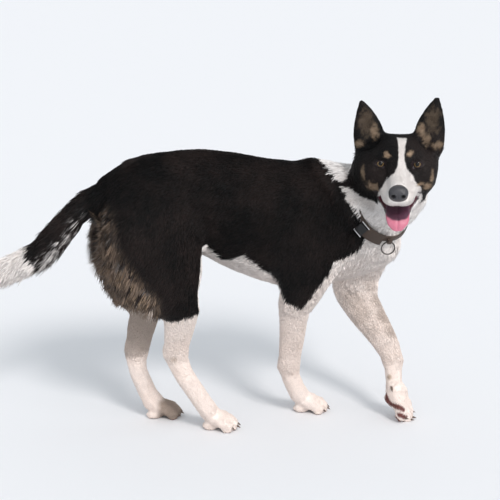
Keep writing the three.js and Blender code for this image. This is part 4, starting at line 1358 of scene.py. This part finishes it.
def clear_way(root, lie, normal, length, height):
    """How much of each lock fits before it meets the collar, the tongue or the nose."""
    share = np.ones(len(root))
    start = root + normal * 0.0005
    way = lie * length[:, None] + normal * height[:, None]
    reach = np.linalg.norm(way, axis=1)
    way = way / reach[:, None]
    for index in np.flatnonzero(near_obstacles(root)):
        place = Vector(start[index])
        far = OBSTACLE_TREE.ray_cast(place, Vector(way[index]), reach[index] * 1.1)[3]
        if far is not None:
            share[index] = max(far - STOP_SHORT, 0.0) / reach[index]
        if OBSTACLE_TREE.ray_cast(place, Vector(normal[index]), CLEAR_ABOVE)[3] is not None:
            share[index] = 0.0
    return share


def paint_locks(mesh, place, part, kind):
    """Gives each lock its marks, a chance value, its place along and its warmth."""
    per = 2 + 3 * len(kind["rings"])
    add_colour(mesh, "Marks", np.repeat(marks_at(place, part), per, axis=0))
    along = [0.0] + [t for t, _ in kind["rings"] for _ in range(3)] + [1.0]
    local = noise01(place, 0.010, 13)
    chance = np.clip(0.6 * DICE.random(len(place)) + 0.4 * local, 0.0, 1.0)
    lock = np.empty((len(place), per, 3))
    lock[:, :, 0] = chance[:, None]
    lock[:, :, 1] = np.array(along)[None]
    lock[:, :, 2] = warmth(place)[:, None]
    add_colour(mesh, "Lock", lock.reshape(-1, 3))


def map_locks(mesh, kind, places):
    """Gives each lock a small patch at its root's place on the skin's map."""
    across, along = [0.0], [-0.5]
    for t, _ in kind["rings"]:
        across += [0.0, -0.5, 0.5]
        along += [t - 0.5] * 3
    pattern = PATCH * np.stack([across + [0.0], along + [0.5]], 1)
    spots = (places[:, None, :] + pattern[None]).reshape(-1, 2)
    corners = np.empty(len(mesh.loops), np.int32)
    mesh.loops.foreach_get("vertex_index", corners)
    layer = mesh.uv_layers.new(name="OFBake")
    layer.data.foreach_set("uv", np.clip(spots[corners], 0, 1).astype(np.float32).ravel())


def faces_of(parts, side):
    """The skin's faces on these parts, or on one side of them: 1 left, -1 right."""
    chosen = belongs(skin_part[skin_faces[:, 0]], *parts)
    if side:
        centre = skin_points[skin_faces].mean(1)
        chosen &= (centre[:, 1] - MID_PLANE) * side > 0
    return np.flatnonzero(chosen)


def chosen_rows(keep, *arrays):
    """The rows of each array for which keep is true."""
    return [array[keep] for array in arrays]


def stray_lie(root, normal, lie, stray):
    """The coat's lie along the skin, turned a little for each lock and each patch."""
    lie = unit(lie - normal * dot(lie, normal)[:, None])
    turn = DICE.normal(0.0, stray, len(root)) + 1.5 * stray * noise(root, 0.016, 12)
    return unit(lie + turn[:, None] * np.cross(normal, lie))


def build_coat(name, parts, kind, gap, side, stray):
    """One piece of the coat. The order of its random draws sets every lock."""
    chosen = faces_of(parts, side)
    row, share = sample_roots(chosen, gap)
    root = blended(skin_points, chosen[row], share)
    part = skin_part[skin_faces[chosen[row], 0]]
    row, share, root, part = chosen_rows(bare_share(root, part) < 0.3,
                                         row, share, root, part)
    face, count = chosen[row], len(root)
    normal = unit(blended(skin_normals, face, share))
    lie = stray_lie(root, normal, blended(skin_lie, face, share), stray)
    depth, length, width = blended(skin_sizes, face, share).T
    length = length * DICE.uniform(*LENGTHS, count)
    height = depth * DICE.uniform(*HEIGHTS, count)
    width = width * DICE.uniform(*WIDTHS, count)
    fit = clear_way(root, lie, normal, length, height)
    length, height = length * np.minimum(fit, 1.0), height * np.minimum(fit, 1.0)
    row, share, root, part, normal, lie, length, height, width = chosen_rows(
        fit > SHORTEST, row, share, root, part, normal, lie, length, height, width)
    points = lock_points(kind, root, normal, lie, length, width, height)
    count, per = points.shape[:2]
    faces = np.array(kind["faces"])[None] + per * np.arange(count)[:, None, None]
    mesh = mesh_from(name, points.reshape(-1, 3), faces.reshape(-1, 3))
    paint_locks(mesh, root + lie * (length * 0.25)[:, None], part, kind)
    map_locks(mesh, kind, np.sum(unwrapped(chosen)[row] * share[:, :, None], axis=1))
    mesh.materials.append(COAT_MATERIAL)
    piece = add_object(name, mesh)
    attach(piece, "root")
    print(name, count, "locks", len(mesh.polygons), "triangles")


for piece_name, settings in COAT_PIECES.items():
    build_coat(piece_name, *settings)


# ---------------------------------------------------------------- eyes, nose and tongue

def ball_net(rows, columns):
    """Ways out from a ball's middle, its pole along x, and triangles between them."""
    ways, faces = [(1.0, 0.0, 0.0)], []
    for row in range(1, rows):
        lean = math.pi * row / rows
        for column in range(columns):
            turn = 2 * math.pi * column / columns
            ways.append((math.cos(lean), math.sin(lean) * math.cos(turn),
                         math.sin(lean) * math.sin(turn)))
    ways.append((-1.0, 0.0, 0.0))
    last = len(ways) - 1

    def at(row, column):
        return 1 + (row - 1) * columns + column % columns

    for column in range(columns):
        faces.append((0, at(1, column), at(1, column + 1)))
        for row in range(1, rows - 1):
            a, b = at(row, column), at(row, column + 1)
            c, d = at(row + 1, column + 1), at(row + 1, column)
            faces += [(a, d, c), (a, c, b)]
        faces.append((last, at(rows - 1, column + 1), at(rows - 1, column)))
    return np.array(ways), np.array(faces)


def show(name, mesh, material, slot, *nodes):
    """Makes a piece of the mesh, in place of these CAD nodes."""
    mesh.materials.append(material)
    piece = add_object(name, mesh)
    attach(piece, "root")
    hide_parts(*nodes)
    return piece


EYE_NET, NOSE_NET = (64, 96), (96, 144)     # rows and columns of their balls
GAZE_LIFT = math.radians(8)
CORNEA_EDGE, CORNEA_RISE = math.radians(38), 0.0006


def eye_material():
    paint = Paint("eye", 0.30, 0.0)
    lean, fibre, _ = paint.channels("Iris")
    place = paint.math("ADD", lean, paint.spread(fibre, 0.0, 1.0, -0.03, 0.03))
    tone = paint.steps(place, IRIS_STOPS)
    shade = paint.spread(fibre, 0.0, 1.0, 0.80, 1.15)
    paint.link(paint.scale(tone, shade), "Base Color")
    paint.set("Coat Weight", 0.6)
    paint.set("Coat Roughness", 0.03)
    return paint.material


def build_eye(side, material):
    ways, faces = ball_net(*EYE_NET)
    lean = np.arccos(np.clip(ways[:, 0], -1, 1))
    swell = CORNEA_RISE * fall(lean, 0.4 * CORNEA_EDGE, CORNEA_EDGE)
    radius = EYE_RADIUS - 0.0001 + swell
    ahead, _, up = eye_axes(side, GAZE_LIFT, 0.0)
    axes = np.stack([ahead, np.cross(up, ahead), up])
    local = (ways * radius[:, None]) @ axes + HEAD.inside(middle(eye_name(side)))
    name = "eyeball_left" if side > 0 else "eyeball_right"
    mesh = mesh_from(name, HEAD.outside(local), faces)
    turn = np.arctan2(ways[:, 2], ways[:, 1])
    spokes = np.stack([9 * np.cos(turn), 9 * np.sin(turn), 1.5 * lean], 1)
    fibre = noise01(spokes, 1.0, 31 + side)
    add_colour(mesh, "Iris", np.stack([lean / (math.pi / 2), fibre, 0 * fibre], 1))
    show(name, mesh, material, "eye", eye_name(side))


NOSE_HALF = (0.0112, 0.0178, 0.0138)
NOSTRIL, NOSTRIL_HALF = (0.0088, -0.0040), (0.0038, 0.0034)     # across and up
NOSTRIL_DEPTH, SLIT_DEPTH, WING_RISE, GROOVE_DEPTH = 0.0062, 0.0016, 0.0014, 0.0012


def nose_material():
    paint = Paint("nose_leather", 0.42, 0.45)
    painted_shade, _, _ = paint.channels("NostrilShade")
    pebble = paint.cells(900.0)
    tone = paint.mix(pebble, *NOSE_GREYS)
    # painted shade: near-black in the nostrils' holes
    paint.link(paint.mix(painted_shade, tone, NOSTRIL_PAINTED_SHADE), "Base Color")
    paint.link(paint.spread(painted_shade, 0.0, 1.0, 0.42, 0.9), "Roughness")
    paint.bump(pebble, 0.4, 0.0005)
    return paint.material


def build_nose():
    ways, faces = ball_net(*NOSE_NET)
    x, y, z = (np.sign(ways) * np.abs(ways) ** 0.88 * np.array(NOSE_HALF)).T
    y = y * (1.0 - 0.22 * ramp(-z, 0.0, 0.012))
    front = ramp(x, -0.001, 0.006)
    aside = np.abs(y)
    place = (((aside - NOSTRIL[0]) / NOSTRIL_HALF[0]) ** 2
             + ((z - NOSTRIL[1]) / NOSTRIL_HALF[1]) ** 2)
    hole = np.exp(-place ** 2)
    slit = np.exp(-((aside - 0.0150) / 0.0030) ** 2 - ((z + 0.0052) / 0.0013) ** 2)
    wing = np.exp(-((aside - 0.0105) / 0.0052) ** 2 - ((z + 0.0010) / 0.0052) ** 2)
    groove = bell(y, 0.0, 0.0009) * ramp(-z, 0.001, 0.005)
    x = x + WING_RISE * wing * front - NOSTRIL_DEPTH * hole * front
    x = x - SLIT_DEPTH * slit * ramp(x, -0.004, 0.002) - GROOVE_DEPTH * groove * front
    local = np.stack([x, y, z], 1) + HEAD.inside(middle("nose"))
    mesh = mesh_from("nose_leather", HEAD.outside(local), faces)
    # painted shade: the nostrils' holes are darkened
    painted_shade = np.clip(hole * front, 0.0, 1.0)
    add_colour(mesh, "NostrilShade", np.stack([painted_shade, 0 * painted_shade, 0 * painted_shade], 1))
    show("nose_leather", mesh, nose_material(), "nose", "nose")


def tongue_material():
    paint = Paint("tongue", 0.38, 0.45)
    inner, _, _ = paint.channels("InnerShade")
    grain = paint.noise(700.0, 2.0)
    pink = paint.mix(grain, *TONGUE_PINKS)
    # painted shade: darker purple where the tongue lies inside the mouth
    painted_shade = paint.mix(grain, *TONGUE_PAINTED_SHADES)
    paint.link(paint.mix(inner, pink, painted_shade), "Base Color")
    paint.set("Subsurface Weight", 0.15)
    paint.set("Subsurface Radius", (0.006, 0.002, 0.002))
    paint.bump(grain, 0.5, 0.0005)
    return paint.material


TONGUE_GRID = 0.0013
TONGUE_GROOVE, TONGUE_GROOVE_HALF, TONGUE_CURL = 0.0013, 0.0018, 0.0022
TONGUE_HALF = 0.021     # half its width
TONGUE_SHADE_EDGE, TONGUE_BOW = -0.0915, 0.0070   # where its painted shade inside the mouth begins, and how bowed


def build_tongue():
    points, faces = grown_copy("tongue", 0.0)
    mesh = gridded("tongue_body", points, faces, TONGUE_GRID)
    points = Net(mesh).rounded(points_of(mesh), 12, 0.6, 0.56)
    local = HEAD.inside(points)
    upward = point_normals(points, triangles_of(mesh)) @ HEAD.axes.T
    top = ramp(upward[:, 2] + 0.5 * upward[:, 0], 0.0, 0.5)
    groove = TONGUE_GROOVE * bell(local[:, 1], 0.0, TONGUE_GROOVE_HALF) * top
    curl = TONGUE_CURL * ramp(np.abs(local[:, 1]), 0.010, TONGUE_HALF)
    curl = curl * fall(local[:, 0], 0.03, 0.05)
    local = local - upward * groove[:, None]
    raised = local + np.stack([0 * curl, 0 * curl, curl], 1)
    set_points(mesh, HEAD.outside(raised))
    # painted shade: above this bowed edge the tongue, inside the mouth, is darker purple
    edge = (TONGUE_SHADE_EDGE + TONGUE_BOW * (local[:, 1] / TONGUE_HALF) ** 2
            + 0.0012 * noise(points, 0.006, 14))
    inner = ramp(local[:, 2] - edge, -0.0012, 0.0022)
    add_colour(mesh, "InnerShade", np.stack([inner, 0 * inner, 0 * inner], 1))
    shade_smooth(mesh)
    show("tongue_body", mesh, tongue_material(), "tongue", "tongue")


EYE_MATERIAL = eye_material()
build_eye(1, EYE_MATERIAL)
build_eye(-1, EYE_MATERIAL)
build_nose()
build_tongue()


# ---------------------------------------------------------------- the collar

BAND_STEPS, RING_STEPS, WIRE_STEPS, BAR_NET = 120, 96, 16, (24, 24)
NARROW_THICK, WIDE_THICK = 0.0020, 0.0026
BUCKLE_BEVEL, KEEPER_BEVEL = 0.0008, 0.0006
SHARP_EDGE = math.radians(35)


def around(angle, along, radius):
    """Places on the collar at angles round it, from its axis and its middle."""
    local = np.stack([along + 0 * angle, radius * np.cos(angle), radius * np.sin(angle)], 1)
    return local @ COLLAR_AXES + COLLAR_MIDDLE


def cells_between(rows, count, closed):
    """The corners of each cell of a grid whose rows are rings of points."""
    for row in range(rows if closed else rows - 1):
        after = (row + 1) % rows
        for k in range(count):
            far = (k + 1) % count
            yield row * count + k, row * count + far, after * count + far, after * count + k


def strap_section(wide, thick):
    """The section of a strap with cut corners: places along its axis and outwards."""
    corner = 0.3 * thick
    cuts = [(corner, 0.0), (0.3 * corner, 0.3 * corner), (0.0, corner)]
    section = []
    for sign_a, sign_o in ((-1, -1), (1, -1), (1, 1), (-1, 1)):
        for cut_along, cut_out in (cuts[::-1] if sign_a == sign_o else cuts):
            section.append((0.5 * sign_a * wide - sign_a * cut_along,
                            (sign_o > 0) * thick - sign_o * cut_out))
    return np.array(section)


def band_mesh(start, end, wide, centre, inner, thick, closed):
    """A strap of rounded section, round the collar's axis between two angles."""
    section = strap_section(wide, thick)
    along = centre + section[:, 0]
    radius = inner + section[:, 1] - STRAP_FLARE * along
    count = BAND_STEPS if closed else BAND_STEPS + 1
    angles = np.linspace(start, end, count, endpoint=not closed)
    size = len(section)
    rows = [around(np.full(size, angle), along, radius) for angle in angles]
    faces = [face for a, b, c, d in cells_between(count, size, closed)
             for face in ((a, b, c), (a, c, d))]
    if not closed:
        last = (count - 1) * size
        for k in range(1, size - 1):
            faces += [(0, k + 1, k), (last, last + k, last + k + 1)]
    return np.concatenate(rows), np.array(faces)


def strap_material():
    paint = Paint("strap", 0.6, 0.35)
    grain = paint.cells(900.0)
    worn = paint.noise(60.0)
    tone = paint.mix(worn, *STRAP_BROWNS)
    paint.link(paint.scale(tone, paint.spread(grain, 0.0, 0.5, 0.80, 1.1)), "Base Color")
    paint.link(paint.spread(worn, 0.3, 0.7, 0.5, 0.72), "Roughness")
    paint.bump(grain, 0.5, 0.0004)
    return paint.material


def build_strap(material):
    narrow = band_mesh(0.0, 2 * math.pi, STRAP_NARROW, NARROW_ALONG,
                       STRAP_RADIUS + 0.0002, NARROW_THICK, True)
    wide = band_mesh(STRAP_END - math.pi, STRAP_END, STRAP_WIDE, 0.0,
                     STRAP_RADIUS + 0.0004, WIDE_THICK, False)
    points = np.concatenate([narrow[0], wide[0]])
    faces = np.concatenate([narrow[1], wide[1] + len(narrow[0])])
    mesh = mesh_from("strap", points, faces)
    show("strap", mesh, material, "strap", "collar_strap")


def bevelled(name, node_name, bevel, material, slot):
    """A copy of a solid with its edges rounded off."""
    points, faces = grown_copy(node_name, 0.0)
    made = modified(name, points, faces, "BEVEL", {
        "width": bevel, "segments": 3, "limit_method": "ANGLE",
        "angle_limit": SHARP_EDGE, "harden_normals": True})
    show(name, made, material, slot, node_name)


def main_axes(node_name):
    """A solid's middle, its three main ways, the longest first, and its points there."""
    points = np.unique(np.round(points_of(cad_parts[node_name].data), 6), axis=0)
    centre = points.mean(0)
    _, _, ways = np.linalg.svd(points - centre, full_matrices=False)
    return centre, ways, (points - centre) @ ways.T


def build_ring(material):
    centre, ways, local = main_axes("collar_ring")
    away = np.hypot(local[:, 0], local[:, 1])
    radius = (away.max() + away.min()) / 2
    wire = (away.max() - away.min()) / 2
    turn = np.linspace(0, 2 * math.pi, RING_STEPS, endpoint=False)[:, None]
    lean = np.linspace(0, 2 * math.pi, WIRE_STEPS, endpoint=False)[None, :]
    far = radius + wire * np.cos(lean) + 0 * turn
    spots = np.stack([far * np.cos(turn), far * np.sin(turn),
                      wire * np.sin(lean) + 0 * far], 2)
    faces = [(a, d, c, b) for a, b, c, d in cells_between(RING_STEPS, WIRE_STEPS, True)]
    mesh = mesh_from("ring_wire", spots.reshape(-1, 3) @ ways + centre, faces)
    show("ring_wire", mesh, material, "metal", "collar_ring")


def build_bar(name, node_name, material):
    centre, ways, local = main_axes(node_name)
    half, radius = np.abs(local).max(0)[:2]
    balls, faces = ball_net(*BAR_NET)
    local = balls * radius
    local[:, 0] += np.sign(balls[:, 0]) * (half - radius)
    mesh = mesh_from(name, local @ ways + centre, faces)
    show(name, mesh, material, "metal", node_name)


def build_collar():
    metal = plain_material("metal", METAL_GREYS, 0.28, 0.5, 240.0, 0.0001)
    metal.set("Metallic", 1.0)
    plastic = plain_material("buckle_plastic", PLASTIC_BLACKS, 0.42, 0.45, 500.0, 0.0002)
    leather = strap_material()
    build_strap(leather)
    build_ring(metal.material)
    polished = plain_material("polished", POLISHED_GREYS, 0.22, 0.5, 240.0, 0.0001)
    polished.set("Metallic", 1.0)
    build_bar("bar_front", "collar_bar_front", polished.material)
    build_bar("bar_back", "collar_bar_back", polished.material)
    bevelled("buckle", "collar_buckle", BUCKLE_BEVEL, plastic.material, "buckle")
    bevelled("keeper", "collar_keeper", KEEPER_BEVEL, leather, "strap")


def finish_claws():
    """The claws are shown by the CAD's own solids, with a material of horn."""
    claw = plain_material("claw", HORN_BROWNS, 0.35, 0.5, 300.0, 0.0002)
    for name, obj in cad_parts.items():
        if "claw" in name:
            obj.data.materials.clear()
            obj.data.materials.append(claw.material)
            shade_smooth(obj.data)


build_collar()
finish_claws()


# ---------------------------------------------------------------- floor, light, camera

def build_stage():
    bpy.ops.mesh.primitive_plane_add(size=80.0, location=(0, 0, 0))
    floor = bpy.context.object
    floor.name = "floor"
    paint = Paint("floor", 0.9, 0.1)
    paint.set("Base Color", FLOOR_WHITE)
    floor.data.materials.append(paint.material)


def aim(obj, place, target):
    obj.location = place
    way = Vector(target) - Vector(place)
    obj.rotation_euler = way.to_track_quat("-Z", "Y").to_euler()


def add_sun(name, energy, angle, tint, place):
    light = bpy.data.lights.new(name, "SUN")
    light.energy = energy
    light.angle = math.radians(angle)
    light.color = tint
    aim(add_object(name, light), place, (0.0, 0.0, 0.0))


SKY, SKY_STRENGTH = (0.91, 0.96, 1.0, 1.0), 0.68
# Each sun's name, strength, width in degrees, tint and place.
SUNS = [
    ("key", 1.6, 14, (1.0, 0.96, 0.93), (0.30, -1.40, 1.10)),
    ("fill", 1.05, 70, (1.0, 0.98, 0.97), (0.60, -2.00, 0.55)),
]


def build_light():
    world = bpy.data.worlds.new("studio")
    bpy.context.scene.world = world
    world.use_nodes = True
    back = world.node_tree.nodes["Background"]
    back.inputs["Color"].default_value = SKY
    back.inputs["Strength"].default_value = SKY_STRENGTH
    for sun in SUNS:
        add_sun(*sun)


CAMERA_PLACE = (-0.4926, -2.3450, 0.9590)
CAMERA_TARGET = (0.1177, 0.1030, 0.3300)
LENS, SENSOR = 96.0, 36.0           # in millimetres


def build_camera():
    camera = bpy.data.cameras.new("camera")
    camera.lens = LENS
    camera.sensor_width = SENSOR
    obj = add_object("camera", camera)
    aim(obj, CAMERA_PLACE, CAMERA_TARGET)
    bpy.context.scene.camera = obj


build_stage()
build_light()
build_camera()
bpy.context.scene.view_settings.view_transform = "Standard"
